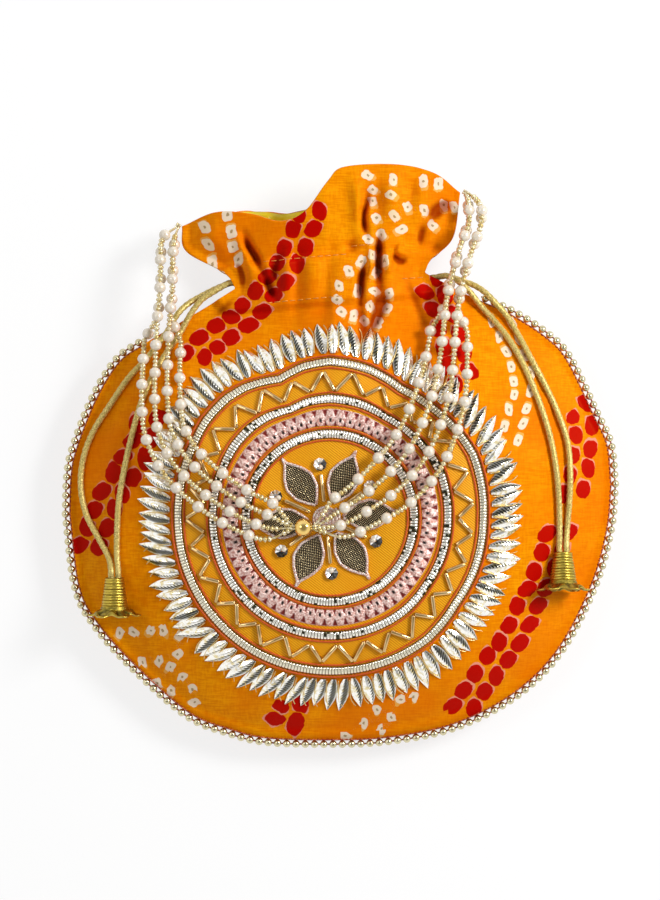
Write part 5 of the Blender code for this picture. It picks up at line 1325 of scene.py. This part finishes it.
strand_b = add_node(tree, "Math", {0: strand_b, 1: 6900.0}, operation="MULTIPLY")
strand_b = add_node(tree, "Math", {0: strand_b}, operation="SINE")
wire = add_node(tree, "Math", {0: strand_b, 1: 0.55, 2: strand_a}, operation="MULTIPLY_ADD")
wire_share = add_node(tree, "MapRange", {0: wire, 1: 0.55, 2: 1.25})
metal = add_node(tree, "Mix", {0: wire_share, 6: colour("#160E08"), 7: colour("#F4DCA8")}, data_type="RGBA")
tree.links.new(metal.outputs[2], shader.inputs["Base Color"])
relief = add_node(tree, "Bump", {"Height": wire, "Strength": 0.6, "Distance": 0.0003})
tree.links.new(relief.outputs[0], shader.inputs["Normal"])
# Trim thread: pinkish silver lurex over cotton.
lurex, tree, shader = start_material("pink silver lurex thread", metallic=0.35, roughness=0.35)
mottle(tree, shader, 1700.0, "#C49484", "#FFF8F2", low=0.42, high=0.62)
# Cup sequin: mirrored foil, pressed into facets, each painted white or near black by the way it faces, as a
# painted reflection. The small bead in it has the pearls' own coat.
mirror_foil, tree, shader = start_material("mirror foil sequin", metallic=1.0, roughness=0.06)
place = add_node(tree, "TexCoord")
haze = add_node(tree, "TexNoise", {"Vector": place.outputs["Object"], "Scale": 400.0})
# Painted reflection: facets on one side of each cup are painted white, the rest near black.
facet = add_node(tree, "Attribute", attribute_name="facet_reflection")
tone = add_node(tree, "Math", {0: haze, 1: 0.2, 2: facet.outputs["Fac"]}, operation="MULTIPLY_ADD", use_clamp=True)
metal = add_node(tree, "Mix", {0: tone, 6: colour("#0C0806"), 7: colour("#FFFFFF")}, data_type="RGBA")
tree.links.new(metal.outputs[2], shader.inputs["Base Color"])
LEAF_START, LEAF_TIP, LEAF_WIDTH = 0.0075, 0.0300, 0.0128
step_angle = math.pi / 3
for number in range(6):
    angle = math.radians(126) - number * step_angle
    along = np.array((math.cos(angle), math.sin(angle)))
    beside = np.array((-math.sin(angle), math.cos(angle)))
    shares = np.linspace(0, 1, 25)
    outline = np.interp(shares, (0, 0.08, 0.30, 0.55, 0.75, 0.90, 1.0), (0.0, 0.30, 0.86, 1.0, 0.70, 0.30, 0.0))
    outline = outline * LEAF_WIDTH / 2
    outline = np.convolve(np.pad(outline, 1, mode="edge"), (0.25, 0.5, 0.25), "valid")
    sides = np.linspace(-1, 1, 13)
    reach = LEAF_START + shares * (LEAF_TIP - LEAF_START)
    flat = np.array(FLOWER) + (reach[:, None] * along)[:, None] + (outline[:, None] * sides)[..., None] * beside
    corners = lie_on(flat.reshape(-1, 2), 0)
    corners[:, 2] += (DISC_TOP + 0.0005 + 0.0011 * outline[:, None] / LEAF_WIDTH * 2 * (1 - sides**2)).ravel()
    faces = grid_faces(25, 13)[:, (0, 3, 2, 1)].tolist()
    rim = np.vstack([flat[:, 0], flat[-2::-1, -1]])
    tail = np.array(FLOWER) + along * (LEAF_TIP + 0.0022)
    rim = np.insert(rim, 25, tail, axis=0)
    rim_line = even_points(lie_on(rim, DISC_TOP + 0.0007), 0.00035)
    braid = twisted_tube(rim_line, 0.00072, lay=0.0019, around=8, depth=0.42)
    mesh = join_pieces("leaf", [(corners, faces, 0), (*braid, 1)])
    across = outline[:, None] * sides
    local = np.stack([(reach[:, None] + 0 * sides), across, -across], -1).reshape(-1, 3)
    store(mesh, "leaf_place", np.vstack([local, np.zeros((len(braid[0]), 3))]))
    add_piece(f"flower_leaf_{number + 1}", mesh, [wire_mesh, lurex], "dark_gold_mesh", f"flower_petal_{number + 1}")

    spoke = angle + step_angle / 2
    ray = np.array((math.cos(spoke), math.sin(spoke)))
    ends = lie_on([np.array(FLOWER) + ray * 0.0075, np.array(FLOWER) + ray * 0.0195], DISC_TOP + 0.0011)
    add_piece(
        f"spoke_rod_{number + 1}", join_pieces("rod", [(*bugle(*ends, radius=0.0009), 0)]), [bugle_glass],
        "polished_gold", f"spoke_bugle_{number + 1}",
    )
    seat = lie_on([np.array(FLOWER) + ray * 0.0238], DISC_TOP)[0]
    turns = np.linspace(0, 2 * math.pi, 8, endpoint=False) + number
    profile = (
        (0.0004, 0.0006), (0.0011, 0.00065), (0.0020, 0.0011), (0.0028, 0.0016), (0.0029, 0.0015), (0.0024, 0.0007)
    )
    cup = np.vstack([
        np.column_stack([r * np.cos(turns), r * np.sin(turns), np.full(8, z)]) + seat for r, z in profile
    ])
    mesh = join_pieces("cup", [(cup, tube_faces(len(profile), 8, caps=False), 0)])
    mesh.shade_flat()
    middles = np.array([np.mean(cup[list(p.vertices)], axis=0) - seat for p in mesh.polygons])
    # Painted reflection: how bright each facet is painted, by the way it faces round the cup.
    lit = smooth_step(-0.20, 0.10, np.cos(np.arctan2(middles[:, 1], middles[:, 0]) - spoke - 0.9 * number))
    mesh.attributes.new("facet_reflection", "FLOAT", "FACE").data.foreach_set("value", lit)
    add_piece(f"cup_sequin_{number + 1}", mesh, [mirror_foil], "mirror_sequin", f"spoke_sequin_{number + 1}")
    glass = ball(0.0012, 16, 11)
    centre = seat + np.array((*(-ray * 0.0013), 0.0021))
    add_piece(
        f"cup_bead_{number + 1}", join_pieces("bead", [(glass[0] + centre, glass[1], 0)]), [pearl], "clear_bead",
        f"spoke_bead_{number + 1}",
    )
wound = np.linspace(0, 1, 260)
spiral = 0.0008 + 0.0052 * wound
flat = np.array(FLOWER) + spiral[:, None] * np.stack([np.cos(wound * 26), np.sin(wound * 26)], -1)
line = lie_on(flat, 0)
line[:, 2] += DISC_TOP + 0.0006 + 0.0010 * (1 - wound)
mesh = join_pieces("coil", [(*twisted_tube(line, 0.00080, lay=0.0020, around=8, depth=0.4), 0)])
add_piece("flower_middle", mesh, [lurex], "silver_gota", "flower_coil")
